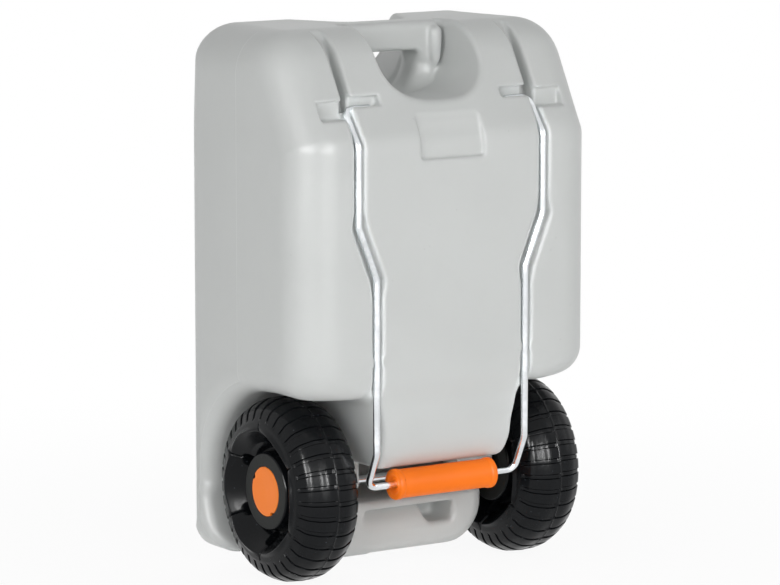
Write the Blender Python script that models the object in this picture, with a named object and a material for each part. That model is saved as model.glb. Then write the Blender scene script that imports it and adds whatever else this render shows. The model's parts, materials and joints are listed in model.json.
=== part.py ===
"""Portable waste water tank on two wheels, with a fold-out pull handle.

A blow-moulded tank runs on two ribbed wheels, and its underside stands a
little above the ground. A bent steel wire with a plastic grip hangs down its
rear face, and swings out and up. Three screw caps close the inlet, the drain
and the vent on the front face.

Frame: metres, +Z up, Z = 0 under the wheels. X = 0 is the plane of symmetry,
-Y is the rear face with the handle, +Y is the front face with the caps.
"""

import math

import bmesh
import bpy
from mathutils import Matrix, Vector

# Driving dimensions of the tank moulding
TANK_WIDTH = 0.398
TANK_DEPTH = 0.267
TANK_HEIGHT = 0.6232
TANK_BOTTOM = 0.018
WALL = 0.0035
REAR_CORNER_RADIUS = 0.050
FRONT_CORNER_RADIUS = 0.050
TOP_SIDE_RADIUS = 0.066
TOP_FRONT_RADIUS = 0.032
BOTTOM_SIDE_RADIUS = 0.052
BOTTOM_FRONT_RADIUS = 0.024
CREASE_DROP = 0.118
CREASE_RADIUS = 0.040
SLANT_ANGLE = math.radians(31.3)
TOP_REAR_RADIUS = 0.068

# Running and seating gaps
SEAT_GAP = 0.0003
WHEEL_GAP = 0.0072

# Wheels and axle
WHEEL_RADIUS = 0.105
WHEEL_INSET = 0.0484
WHEEL_WIDTH = 0.0825
AXLE_SETBACK = 0.1067
AXLE_DIAMETER = 0.010
AXLE_RUNNING_GAP = 0.0004
HUB_WIDTH = 0.0636
BOSS_RADIUS = 0.0435
DISH_RADIUS = 0.067
DISH_DEPTH = 0.020
TREAD_RIBS = 36
TREAD_GROOVE_DEPTH = 0.0025
TREAD_GROOVE_SHARE = 0.24
WHEEL_WALL = 0.003
DISH_HOLES = 6
DISH_HOLE_RADIUS = 0.0075
HUB_CAP_RADIUS = 0.028
HUB_CAP_THICKNESS = 0.003
WASHER_RADIUS = 0.011
WASHER_THICKNESS = 0.0015
PUSH_WASHER_RADIUS = 0.0095
LUG_THICKNESS = 0.050
LUG_RADIUS = 0.016
LUG_RISE = 0.018

# Wheel space under the shoulders, with the centre block between the wheels
BLOCK_TOP_HALF_WIDTH = 0.100
BLOCK_LOW_HALF_WIDTH = 0.083
BLOCK_CORNER_RADIUS = 0.026
BLOCK_EDGE_RADIUS = 0.012
BLOCK_RISE = 0.0267
CHIN_RISE = 0.0665
CHIN_DEPTH = 0.0235
CHIN_ROUND_RISE = 0.0045
ARCH_MOUTH_RADIUS = 0.0275
SHOULDER_EDGE_RADIUS = 0.030
SHOULDER_CORNER_RADIUS = 0.050
TOE_RADIUS = 0.0135

# Foot block low between the wheels, and the grip recess in its rear face
FOOT_HALF_WIDTH = 0.105
FOOT_SETBACK = 0.0885
FOOT_HEIGHT = 0.0642
FOOT_SIDE_RADIUS = 0.050
FOOT_CORNER_RADIUS = 0.018
FOOT_TOE_RADIUS = 0.020
FOOT_TOP_RADIUS = 0.006
FOOT_RECESS_HALF_WIDTH = 0.058
FOOT_RECESS_DROP = 0.012
FOOT_RECESS_HEIGHT = 0.023
FOOT_RECESS_DEPTH = 0.040
FOOT_RECESS_DRAFT = 0.006
FOOT_RECESS_CORNER = 0.010
FOOT_RECESS_LIP = 0.004

# Pull handle: a wire, its pivot and its bends
WIRE_DIAMETER = 0.008
WIRE_BEND_RADIUS = 0.011
PIVOT_SETBACK = 0.0335
PIVOT_DROP = 0.084
ARM_HALF_SPAN = 0.1235
NARROW_HALF_SPAN = 0.0998
PIN_LENGTH = 0.034
ELBOW_REACH = 0.0384
UPPER_JOG_REACH = 0.1283
JOG_LENGTH = 0.0595
KNEE_RISE = 0.0409
CROSSBAR_SETBACK = 0.023
GRIP_LENGTH = 0.132
GRIP_DIAMETER = 0.035
GRIP_RIM_WIDTH = 0.006
GRIP_RIM_HEIGHT = 0.0008
GRIP_RUNNING_GAP = 0.0004
STOP_ANGLE = math.radians(165)

# Slots and grooves that the handle lies in
GROOVE_RADIUS = 0.0070
GROOVE_CLEARANCE = 0.0015
SLOT_WIDTH = 0.0125
SLOT_TOP_DROP = 0.0025
PIN_GAP = 0.0007
BEND_GAP = 0.0028
INNER_SLOT_REACH = 0.081
INNER_SLOT_HEIGHT = 0.011
OUTER_SLOT_REACH = 0.162
OUTER_SLOT_HEIGHT = 0.020
SNAP_RISE = 0.043
SNAP_SIZE = 0.007

# Carry handle at the top: two scoops, the bar between them and its window
SCOOP_HALF_WIDTH = 0.066
SCOOP_DROP = 0.025
SCOOP_DEPTH_BELOW = 0.054
FRONT_SCOOP_HALF_WIDTH = 0.076
FRONT_SCOOP_DEPTH_BELOW = 0.046
BAR_SETBACK = 0.1425
BAR_THICKNESS = 0.038
BAR_DROP = 0.0045
BAR_HEIGHT = 0.034
BAR_EDGE_RADIUS = 0.009
WINDOW_HALF_WIDTH = 0.041
WINDOW_HEIGHT = 0.029
POST_X = 0.050
POST_RADIUS = 0.0085

# Shallow plate recess at the crease
PLATE_HALF_WIDTH = 0.042
PLATE_HEIGHT = 0.048
PLATE_DEPTH = 0.0035

# Screw caps on the front face: bore, recess, neck and cap sizes
INLET_DROP = 0.2302
INLET_BORE = 0.084
SIDE_CAP_DROP = 0.1262
SIDE_CAP_REACH = 0.110
DRAIN_BORE = 0.036
VENT_BORE = 0.018
NECK_WALL = 0.005
CAP_SKIRT_WALL = 0.004
CAP_TOP_THICKNESS = 0.004
CAP_HEIGHT = 0.017
CAP_FINGER_GAP = 0.013
CAP_RIB_DEPTH = 0.0012
THREAD_GAP = 0.0008
GASKET_THICKNESS = 0.002
GASKET_WIDTH = 0.0045
RECESS_FLOOR_GAP = 0.001

# Values that follow from the driving dimensions
HALF_WIDTH = TANK_WIDTH / 2
REAR_Y = -TANK_DEPTH / 2
FRONT_Y = TANK_DEPTH / 2
AXLE_Y = REAR_Y + AXLE_SETBACK
AXLE_Z = WHEEL_RADIUS
AXLE_RADIUS = AXLE_DIAMETER / 2
WIRE_RADIUS = WIRE_DIAMETER / 2
ARM_Y = REAR_Y + WIRE_RADIUS
WHEEL_MID_X = HALF_WIDTH - WHEEL_INSET
HUB_INNER_X = WHEEL_MID_X - HUB_WIDTH / 2
HUB_OUTER_X = WHEEL_MID_X + HUB_WIDTH / 2
ARCH_RADIUS = WHEEL_RADIUS + WHEEL_GAP
SHOULDER_UNDERSIDE = AXLE_Z + ARCH_RADIUS
BLOCK_UNDERSIDE = AXLE_Z + BLOCK_RISE
CHIN_START = BLOCK_UNDERSIDE + CHIN_RISE
CHIN_HEIGHT = BLOCK_UNDERSIDE + CHIN_ROUND_RISE
FOOT_REAR_Y = REAR_Y + FOOT_SETBACK
FOOT_TOP = TANK_BOTTOM + FOOT_HEIGHT
LUG_FACE_X = HUB_INNER_X - WASHER_THICKNESS - 2 * SEAT_GAP
COUNTERBORE_DEPTH = HUB_CAP_THICKNESS + 3 * WASHER_THICKNESS + 3 * SEAT_GAP
COUNTERBORE_FLOOR_X = HUB_OUTER_X - COUNTERBORE_DEPTH
OUTER_WASHER_X = COUNTERBORE_FLOOR_X + SEAT_GAP
PUSH_WASHER_X = OUTER_WASHER_X + WASHER_THICKNESS + SEAT_GAP
AXLE_END_X = PUSH_WASHER_X + 2 * WASHER_THICKNESS - SEAT_GAP
PIVOT_Y = REAR_Y + PIVOT_SETBACK
PIVOT_Z = TANK_HEIGHT - PIVOT_DROP
ELBOW_Z = PIVOT_Z - ELBOW_REACH
UPPER_JOG_Z = PIVOT_Z - UPPER_JOG_REACH
LOWER_JOG_Z = UPPER_JOG_Z - JOG_LENGTH
CROSSBAR_Y = REAR_Y + CROSSBAR_SETBACK
CROSSBAR_Z = BLOCK_UNDERSIDE + 0.0001 - GRIP_DIAMETER / 2
KNEE_Z = CROSSBAR_Z + KNEE_RISE
SLOT_TOP_Z = TANK_HEIGHT - SLOT_TOP_DROP
SNAP_HEIGHT = SHOULDER_UNDERSIDE + SNAP_RISE
SCOOP_CENTRE_Z = TANK_HEIGHT - SCOOP_DROP
BAR_Y = REAR_Y + BAR_SETBACK
BAR_TOP = TANK_HEIGHT - BAR_DROP
CREASE_HEIGHT = TANK_HEIGHT - CREASE_DROP
CREASE_CENTRE = (REAR_Y + CREASE_RADIUS,
                 CREASE_HEIGHT - CREASE_RADIUS * math.tan(SLANT_ANGLE / 2))
OUTSIDE = 0.02


def top_rear_centre():
    """Centre of the arc that joins the slanted rear face to the top."""
    centre_z = TANK_HEIGHT - TOP_REAR_RADIUS
    extra = TOP_REAR_RADIUS - CREASE_RADIUS
    rise = centre_z - CREASE_CENTRE[1] + extra * math.sin(SLANT_ANGLE)
    run = rise * math.tan(SLANT_ANGLE)
    return (CREASE_CENTRE[0] + run + extra * math.cos(SLANT_ANGLE), centre_z)


TOP_REAR_CENTRE = top_rear_centre()


def clear_scene():
    for obj in list(bpy.data.objects):
        bpy.data.objects.remove(obj, do_unlink=True)


def make_material(name, color, roughness, metallic=0.0):
    material = bpy.data.materials.new(name)
    material.use_nodes = True
    shader = material.node_tree.nodes["Principled BSDF"]
    shader.inputs["Base Color"].default_value = (*color, 1.0)
    shader.inputs["Roughness"].default_value = roughness
    shader.inputs["Metallic"].default_value = metallic
    material.diffuse_color = (*color, 1.0)
    return material


def object_from_bmesh(name, bm, material=None, smooth_angle=35):
    """Link a closed mesh as an object, with its normals facing out."""
    bmesh.ops.recalc_face_normals(bm, faces=bm.faces)
    mesh = bpy.data.meshes.new(name)
    bm.to_mesh(mesh)
    bm.free()
    obj = bpy.data.objects.new(name, mesh)
    bpy.context.scene.collection.objects.link(obj)
    if material:
        mesh.materials.append(material)
    mesh.shade_smooth()
    mesh.set_sharp_from_angle(angle=math.radians(smooth_angle))
    return obj


def as_cutter(obj):
    obj.hide_render = True
    obj.display_type = "WIRE"
    return obj


def combine(obj, tool, operation):
    """Boolean of obj with a hidden tool object."""
    modifier = obj.modifiers.new(tool.name, "BOOLEAN")
    modifier.operation = operation
    modifier.solver = "EXACT"
    modifier.object = as_cutter(tool)


def cut(obj, *tools):
    for tool in tools:
        combine(obj, tool, "DIFFERENCE")


def add(obj, *tools):
    for tool in tools:
        combine(obj, tool, "UNION")


def arc(centre, radius, start, end, steps):
    """Points on a circular arc in a plane; angles in degrees."""
    points = []
    for step in range(steps + 1):
        angle = math.radians(start + (end - start) * step / steps)
        points.append((centre[0] + radius * math.cos(angle),
                       centre[1] + radius * math.sin(angle)))
    return points


def loft(name, rings, material=None):
    """Skin rings that have equal counts of points, and cap both ends."""
    bm = bmesh.new()
    loops = [[bm.verts.new(point) for point in ring] for ring in rings]
    count = len(rings[0])
    for lower, upper in zip(loops, loops[1:]):
        for i in range(count):
            j = (i + 1) % count
            bm.faces.new((lower[i], lower[j], upper[j], upper[i]))
    bm.faces.new(list(reversed(loops[0])))
    bm.faces.new(loops[-1])
    return object_from_bmesh(name, bm, material)


def prism_x(name, outline, low, high, material=None):
    """Extrude a (y, z) outline from x = low to x = high."""
    rings = [[(x, y, z) for y, z in outline] for x in (low, high)]
    return loft(name, rings, material)


def prism_y(name, outline, low, high, material=None):
    """Extrude an (x, z) outline from y = low to y = high."""
    rings = [[(x, y, z) for x, z in outline] for y in (low, high)]
    return loft(name, rings, material)


def turned(name, profile, steps, place, axis, material=None):
    """Turn a closed (radius, along) profile that clears its axis.

    The axis runs through place along the unit vector axis.
    """
    bm = bmesh.new()
    side = Vector(axis).orthogonal().normalized()
    up = Vector(axis).cross(side)
    loops = []
    for step in range(steps):
        angle = 2 * math.pi * step / steps
        out = side * math.cos(angle) + up * math.sin(angle)
        loops.append([bm.verts.new(Vector(place) + out * radius + Vector(axis) * along)
                      for radius, along in profile])
    count = len(profile)
    for step in range(steps):
        here = loops[step]
        there = loops[(step + 1) % steps]
        for i in range(count):
            j = (i + 1) % count
            bm.faces.new((here[i], here[j], there[j], there[i]))
    return object_from_bmesh(name, bm, material)


def cylinder(name, radius, low, high, steps, place, axis, material=None):
    """Closed cylinder from low to high along its axis."""
    side = Vector(axis).orthogonal().normalized()
    up = Vector(axis).cross(side)
    rings = []
    for along in (low, high):
        ring = []
        for step in range(steps):
            angle = 2 * math.pi * step / steps
            out = side * math.cos(angle) + up * math.sin(angle)
            ring.append(Vector(place) + out * radius + Vector(axis) * along)
        rings.append(ring)
    return loft(name, rings, material)


def round_path(points, radius, steps):
    """Replace each inner corner of a path of straight runs by an arc."""
    path = [Vector(points[0])]
    for before, corner, after in zip(points, points[1:], points[2:]):
        corner = Vector(corner)
        back = (Vector(before) - corner).normalized()
        ahead = (Vector(after) - corner).normalized()
        turn = math.pi - back.angle(ahead)
        reach = radius * math.tan(turn / 2)
        bisector = (back + ahead).normalized()
        centre = corner + bisector * (radius / math.cos(turn / 2))
        first = corner + back * reach - centre
        axis = back.cross(ahead).normalized()
        for step in range(steps + 1):
            spin = Matrix.Rotation(-turn * step / steps, 3, axis)
            path.append(centre + spin @ first)
    path.append(Vector(points[-1]))
    return path


def tube(name, path, radius, sides, material=None):
    """Sweep a circle along a path, without twist."""
    tangents = []
    for i in range(len(path)):
        before = path[max(i - 1, 0)]
        after = path[min(i + 1, len(path) - 1)]
        tangents.append((after - before).normalized())
    normal = tangents[0].orthogonal().normalized()
    rings = []
    for point, tangent in zip(path, tangents):
        normal = (normal - tangent * normal.dot(tangent)).normalized()
        binormal = tangent.cross(normal)
        ring = []
        for side in range(sides):
            angle = 2 * math.pi * (side + 0.5) / sides
            ring.append(point + radius * (normal * math.cos(angle) + binormal * math.sin(angle)))
        rings.append(ring)
    return loft(name, rings, material)


def rounded_rectangle(low, high, radius, steps):
    """Corner points of a rectangle with round corners, counter-clockwise."""
    (x0, y0), (x1, y1) = low, high
    points = []
    points += arc((x1 - radius, y0 + radius), radius, -90, 0, steps)
    points += arc((x1 - radius, y1 - radius), radius, 0, 90, steps)
    points += arc((x0 + radius, y1 - radius), radius, 90, 180, steps)
    points += arc((x0 + radius, y0 + radius), radius, 180, 270, steps)
    return points


# Outer form of the tank, and its inner form at one wall's depth

def rear_face_y(z, inset=0.0):
    """Rear face at height z: upright, then slanted, then round into the top."""
    crease_y, crease_z = CREASE_CENTRE
    top_y, top_z = TOP_REAR_CENTRE
    crease_r = CREASE_RADIUS - inset
    top_r = TOP_REAR_RADIUS - inset
    slant_start = crease_z + crease_r * math.sin(SLANT_ANGLE)
    slant_end = top_z + top_r * math.sin(SLANT_ANGLE)
    if z <= crease_z:
        return REAR_Y + inset
    if z <= slant_start:
        return crease_y - math.sqrt(crease_r ** 2 - (z - crease_z) ** 2)
    if z <= slant_end:
        start_y = crease_y - crease_r * math.cos(SLANT_ANGLE)
        return start_y + (z - slant_start) * math.tan(SLANT_ANGLE)
    return top_y - math.sqrt(max(top_r ** 2 - (z - top_z) ** 2, 0.0))


def rounded(distance, radius, inset=0.0):
    """How far a round edge stands in, at a distance from the face it ends on."""
    skin_radius = radius - inset
    beyond = min(max(radius - distance, 0.0), skin_radius)
    return skin_radius - math.sqrt(skin_radius ** 2 - beyond ** 2)


def tank_section(z, inset, steps):
    """Horizontal section of the tank: a rectangle with round corners."""
    least_radius = 0.006
    below_top, above_bottom = TANK_HEIGHT - z, z - TANK_BOTTOM
    side_shrink = (rounded(below_top, TOP_SIDE_RADIUS, inset)
                   + rounded(above_bottom, BOTTOM_SIDE_RADIUS, inset))
    front_shrink = (rounded(below_top, TOP_FRONT_RADIUS, inset)
                    + rounded(above_bottom, BOTTOM_FRONT_RADIUS, inset))
    half = HALF_WIDTH - inset - side_shrink
    front = FRONT_Y - inset - front_shrink
    rear = rear_face_y(z, inset)
    rear_radius = max(REAR_CORNER_RADIUS - inset - side_shrink, least_radius)
    front_radius = max(FRONT_CORNER_RADIUS - inset - max(front_shrink, side_shrink), least_radius)
    points = []
    points += arc((half - rear_radius, rear + rear_radius), rear_radius, -90, 0, steps)
    points += arc((half - front_radius, front - front_radius), front_radius, 0, 90, steps)
    points += arc((front_radius - half, front - front_radius), front_radius, 90, 180, steps)
    points += arc((rear_radius - half, rear + rear_radius), rear_radius, 180, 270, steps)
    return [(x, y, z) for x, y in points]


def tank_form(name, inset, arc_steps, corner_steps, material=None):
    """Loft of horizontal sections, from the underside to the top."""
    heights = []
    for step in range(arc_steps):
        angle = math.radians(90 * step / (arc_steps - 1))
        drop = (BOTTOM_SIDE_RADIUS - inset) * math.cos(angle)
        heights.append(TANK_BOTTOM + BOTTOM_SIDE_RADIUS - drop)
    crease_z = CREASE_CENTRE[1]
    for step in range(4):
        angle = SLANT_ANGLE * step / 3
        heights.append(crease_z + (CREASE_RADIUS - inset) * math.sin(angle))
    for step in range(arc_steps + 1):
        angle = math.radians(90 * step / arc_steps)
        rise = (TOP_SIDE_RADIUS - inset) * math.sin(angle)
        heights.append(TANK_HEIGHT - TOP_SIDE_RADIUS + rise)
    rings = [tank_section(z, inset, corner_steps) for z in heights]
    return loft(name, rings, material)


# Wheel space: the room under the shoulders, round the wheels and the axle

def wheel_space_profile(x, skin, steps):
    """(y, z) outline of the room at x, from the toe up the arch and out at the rear."""
    from_side = HALF_WIDTH - abs(x)
    wall_radius = ARCH_RADIUS + skin + rounded(from_side, ARCH_MOUTH_RADIUS, skin)
    roof_flare = rounded(from_side, SHOULDER_CORNER_RADIUS, skin)
    roof_radius = ARCH_RADIUS + skin + roof_flare
    toe_radius = TOE_RADIUS - skin
    toe_z = TANK_BOTTOM + TOE_RADIUS
    toe_reach = math.sqrt((wall_radius + toe_radius) ** 2 - (AXLE_Z - toe_z) ** 2)
    toe_centre = (AXLE_Y + toe_reach, toe_z)
    toe_angle = -math.degrees(math.atan2(AXLE_Z - toe_z, toe_reach))
    profile = [(toe_centre[0] + OUTSIDE, -OUTSIDE)]
    profile += arc(toe_centre, toe_radius, 270, 180 + toe_angle, 3)
    for step in range(1, steps + 1):
        angle = math.radians(toe_angle + (90 - toe_angle) * step / steps)
        share = max(math.sin(angle), 0.0) ** 2
        radius = wall_radius + (roof_radius - wall_radius) * share
        profile.append((AXLE_Y + radius * math.cos(angle), AXLE_Z + radius * math.sin(angle)))
    corner = rounded(from_side, REAR_CORNER_RADIUS, skin)
    edge_centre = (REAR_Y + SHOULDER_EDGE_RADIUS + corner,
                   SHOULDER_UNDERSIDE + SHOULDER_EDGE_RADIUS + roof_flare)
    profile += arc(edge_centre, SHOULDER_EDGE_RADIUS - skin, 270, 180, steps // 2)
    profile.append((REAR_Y - OUTSIDE, profile[-1][1]))
    profile.append((REAR_Y - OUTSIDE, -OUTSIDE))
    return profile


def block_side_outline(grow):
    """(y, z) outline of the centre block, with its chin curving forward."""
    depth, drop = CHIN_DEPTH, CHIN_START - CHIN_HEIGHT
    radius = (depth ** 2 + drop ** 2) / (2 * depth)
    centre = (REAR_Y + radius, CHIN_START)
    chin_angle = math.degrees(math.asin(drop / radius))
    far = FRONT_Y + OUTSIDE
    high = SHOULDER_UNDERSIDE + SHOULDER_EDGE_RADIUS + OUTSIDE
    low = BLOCK_UNDERSIDE + grow
    outline = [(far, low), (far, high), (REAR_Y - 2 * OUTSIDE, high)]
    outline.append((REAR_Y - 2 * OUTSIDE, CHIN_START))
    outline += arc(centre, radius - grow, 180, 180 + chin_angle, 4)
    last_y, last_z = outline[-1]
    round_radius = max((last_z - low) / (1 - math.sin(math.radians(chin_angle))), 0.001)
    round_centre = (last_y + round_radius * math.cos(math.radians(chin_angle)),
                    low + round_radius)
    outline += arc(round_centre, round_radius, 180 + chin_angle, 270, 3)[1:]
    return outline


def block_ring(half, rear, radius, z, behind=()):
    """Section of a block between the wheels, with its rear corners rounded."""
    right = arc((half - radius, rear + radius), radius, 0, -90, 3)
    right += [(half - radius, y) for y in behind]
    left = [(-x, y) for x, y in reversed(right)]
    far = FRONT_Y + 2 * OUTSIDE
    return [(x, y, z) for x, y in [(-half, far), (half, far), *right, *left]]


def centre_block(name, skin):
    """Block under the rear face; it narrows downward, and its chin curves forward."""
    taper = ((BLOCK_TOP_HALF_WIDTH - BLOCK_LOW_HALF_WIDTH)
             / (SHOULDER_UNDERSIDE - BLOCK_UNDERSIDE))
    heights = [BLOCK_UNDERSIDE + BLOCK_EDGE_RADIUS
               - (BLOCK_EDGE_RADIUS - skin) * math.cos(math.radians(30 * step)) for step in range(4)]
    heights.append(TANK_HEIGHT / 2)
    rings = []
    for z in heights:
        half = BLOCK_LOW_HALF_WIDTH + taper * (z - BLOCK_UNDERSIDE) - skin
        half -= rounded(z - BLOCK_UNDERSIDE, BLOCK_EDGE_RADIUS, skin)
        rings.append(block_ring(half, REAR_Y + skin, BLOCK_CORNER_RADIUS - skin, z,
                                [REAR_Y - 3 * OUTSIDE]))
    rings.insert(0, [(x, y, z - OUTSIDE) for x, y, z in rings[0]])
    block = loft(name, rings)
    side = prism_x(name + "_side", block_side_outline(skin), -HALF_WIDTH, HALF_WIDTH)
    combine(block, side, "INTERSECT")
    return block


def foot_block(name, skin):
    """Block low between the wheels; its flanks and its toe round into the underside."""
    heights = [TANK_BOTTOM + FOOT_SIDE_RADIUS
               - (FOOT_SIDE_RADIUS - skin) * math.cos(math.radians(18 * step)) for step in range(6)]
    heights += [FOOT_TOP - FOOT_TOP_RADIUS
                + (FOOT_TOP_RADIUS - skin) * math.sin(math.radians(45 * step)) for step in range(3)]
    rings = []
    for z in heights:
        top = rounded(FOOT_TOP - z, FOOT_TOP_RADIUS, skin)
        half = FOOT_HALF_WIDTH - skin - rounded(z - TANK_BOTTOM, FOOT_SIDE_RADIUS, skin) - top
        rear = FOOT_REAR_Y + skin + rounded(z - TANK_BOTTOM, FOOT_TOE_RADIUS, skin) + top
        rings.append(block_ring(half, rear, FOOT_CORNER_RADIUS - skin, z))
    rings.insert(0, [(x, y, -2 * OUTSIDE) for x, y, _ in rings[0]])
    return loft(name, rings)


def wheel_space(name, skin, steps):
    """Room for both wheels, notched by the two blocks; skin widens it."""
    widest = SHOULDER_CORNER_RADIUS
    places = [HALF_WIDTH - widest + (widest - skin) * math.sin(math.radians(90 * step / steps))
              for step in range(steps + 1)]
    places.append(HALF_WIDTH + OUTSIDE)
    places = [-x for x in reversed(places)] + places
    rings = [[(x, y, z) for y, z in wheel_space_profile(x, skin, 2 * steps)] for x in places]
    space = loft(name, rings)
    cut(space, centre_block(name + "_centre_block", skin), foot_block(name + "_foot_block", skin))
    return space


# Carry handle: a scoop from each face, with a window under the bar

def scoop(name, half_width, depth_below, mouth_y, back_y, grow):
    """U-shaped hollow cut into a face, open at the top, with a round back."""
    back_radius = 0.016
    toward = 1 if back_y > mouth_y else -1
    stations = [(mouth_y, 0.0)]
    for step in range(4):
        angle = math.radians(90 * step / 3)
        stations.append((back_y - toward * back_radius * (1 - math.sin(angle)),
                         back_radius * (1 - math.cos(angle))))
    rings = []
    for y, inset in stations:
        wide = half_width + grow - inset
        deep = depth_below + grow - inset
        outline = [(wide, TANK_HEIGHT + OUTSIDE), (-wide, TANK_HEIGHT + OUTSIDE)]
        for step in range(11):
            angle = math.pi + math.pi * step / 10
            outline.append((wide * math.cos(angle), SCOOP_CENTRE_Z + deep * math.sin(angle)))
        rings.append([(x, y + toward * grow, z) for x, z in outline])
    return loft(name, rings)


def rear_scoop(name, grow):
    back = BAR_Y - BAR_THICKNESS / 2
    return scoop(name, SCOOP_HALF_WIDTH, SCOOP_DEPTH_BELOW, REAR_Y - OUTSIDE, back, grow)


def front_scoop(name, grow):
    back = BAR_Y + BAR_THICKNESS / 2
    return scoop(name, FRONT_SCOOP_HALF_WIDTH, FRONT_SCOOP_DEPTH_BELOW,
                 FRONT_Y + OUTSIDE, back, grow)


def bar_trim(name, grow):
    """Air above the bar, so that the bar stands lower than the shoulders."""
    half = BAR_THICKNESS / 2 - grow
    top = BAR_TOP - grow
    radius = BAR_EDGE_RADIUS - grow
    rear = arc((BAR_Y - half + radius, top - radius), radius, 180, 90, 3)
    front = arc((BAR_Y + half - radius, top - radius), radius, 90, 0, 3)
    reach = half + 0.004
    high = TANK_HEIGHT + OUTSIDE
    outline = [(BAR_Y - reach, top - radius), *rear, *front,
               (BAR_Y + reach, top - radius), (BAR_Y + reach, high), (BAR_Y - reach, high)]
    wide = SCOOP_HALF_WIDTH - 0.002 + grow
    return prism_x(name, outline, -wide, wide)


def window(name, grow):
    """Finger hole under the bar, with its edges rounded on both faces."""
    edge = 0.006
    high = (WINDOW_HALF_WIDTH, BAR_TOP - BAR_HEIGHT)
    low = (-WINDOW_HALF_WIDTH, high[1] - WINDOW_HEIGHT)
    stations = []
    for step in range(3):
        angle = math.radians(75 - 75 * step / 2)
        flare = edge - (edge - grow) * math.cos(angle)
        stations.append((BAR_THICKNESS / 2 - edge + (edge - grow) * math.sin(angle), flare))
    stations.insert(0, (BAR_THICKNESS / 2 + edge, stations[0][1]))
    both = [(-y, flare) for y, flare in stations] + [(y, flare) for y, flare in reversed(stations)]
    rings = []
    for y, flare in both:
        corner = 0.010 + flare
        outline = rounded_rectangle((low[0] - flare, low[1] - flare),
                                    (high[0] + flare, high[1] + flare), corner, 2)
        rings.append([(x, BAR_Y + y, z) for x, z in outline])
    return loft(name, rings)


def bar_post(name, side):
    """Rounded ridge where the bar comes down into the scoop."""
    foot = SCOOP_CENTRE_Z - 0.022
    top = BAR_TOP - BAR_EDGE_RADIUS
    face = BAR_Y - BAR_THICKNESS / 2
    rings = []
    for z, share in ((foot, 0.35), (foot + 0.008, 0.75), (foot + 0.018, 1.0), (top, 1.0)):
        radius = POST_RADIUS * share
        centre = (side * POST_X, face + 0.3 * POST_RADIUS)
        rings.append([(x, y, z) for x, y in arc(centre, radius, 0, 315, 7)])
    return loft(name, rings)


# Slots and grooves for the wire

def at_stop(y, z):
    """Where a point of the handle's side view is at the upper stop."""
    reach = Vector((y - PIVOT_Y, z - PIVOT_Z))
    turn_cos, turn_sin = math.cos(STOP_ANGLE), math.sin(STOP_ANGLE)
    return (PIVOT_Y + reach.x * turn_cos + reach.y * turn_sin,
            PIVOT_Z - reach.x * turn_sin + reach.y * turn_cos)


def room_behind(start, end, gap):
    """Ends of a straight run in side view, moved forward by gap, square to it."""
    run = (Vector(end) - Vector(start)).normalized()
    forward = Vector((abs(run.y), -run.x * math.copysign(1, run.y)))
    return [tuple(Vector(point) + forward * gap) for point in (start, end)]


def arm_slot(name, side, grow):
    """Slot in the upright plane of one arm, from the top edge to the elbow."""
    gap = WIRE_RADIUS + GROOVE_CLEARANCE + grow
    pivot, elbow = (PIVOT_Y, PIVOT_Z), (ARM_Y, ELBOW_Z)
    behind = REAR_Y - OUTSIDE
    folded = room_behind(elbow, pivot, gap)
    raised = room_behind(pivot, at_stop(*elbow), gap)
    outline = [(behind, folded[0][1]), *folded, *raised]
    fade_start = raised[1][1]
    depth = raised[1][0] - rear_face_y(fade_start) - grow
    for share in (0.4, 0.7, 0.9, 1.0):
        z = fade_start + share * (SLOT_TOP_Z - fade_start)
        outline.append((rear_face_y(z) + depth * math.sqrt(1 - share ** 2) + grow, z))
    outline += [(outline[-1][0], TANK_HEIGHT + OUTSIDE), (behind, TANK_HEIGHT + OUTSIDE)]
    middle = side * ARM_HALF_SPAN
    half = SLOT_WIDTH / 2 + grow
    return prism_x(name, outline, middle - half, middle + half)


def cross_slots(name, side, grow):
    """Two slots across the arm: the pin's, toward the middle, and an outer one."""
    pin_room = WIRE_RADIUS + PIN_GAP + grow
    floor_y = PIVOT_Y + WIRE_RADIUS + PIN_GAP
    lip_z = PIVOT_Z + 0.7 * WIRE_RADIUS
    outer_low, outer_high = PIVOT_Z - OUTER_SLOT_HEIGHT / 2, PIVOT_Z + OUTER_SLOT_HEIGHT / 2
    behind = REAR_Y - OUTSIDE
    inner = [(behind, lip_z - grow), (floor_y + grow, lip_z - grow),
             (floor_y + grow, lip_z + INNER_SLOT_HEIGHT + grow),
             (behind, lip_z + INNER_SLOT_HEIGHT + grow)]
    outer = [(behind, outer_low - grow), (floor_y - 0.006 + grow, outer_low - grow),
             (floor_y - 0.006 + grow, outer_high + grow), (behind, outer_high + grow)]
    near, far = side * (INNER_SLOT_REACH - grow), side * ARM_HALF_SPAN
    tools = [prism_x(name + "_inner", inner, min(near, far), max(near, far))]
    near, far = side * ARM_HALF_SPAN, side * (OUTER_SLOT_REACH + grow)
    tools.append(prism_x(name + "_outer", outer, min(near, far), max(near, far)))
    reach = ARM_HALF_SPAN - INNER_SLOT_REACH - 0.003 + grow
    place, toward = (side * ARM_HALF_SPAN, PIVOT_Y, PIVOT_Z), (-side, 0, 0)
    tools.append(cylinder(name + "_pin", pin_room, 0.0, reach, 10, place, toward))
    tools.append(cylinder(name + "_bend", WIRE_RADIUS + BEND_GAP + grow, 0.0,
                          WIRE_BEND_RADIUS + grow, 10, place, toward))
    return tools


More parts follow.
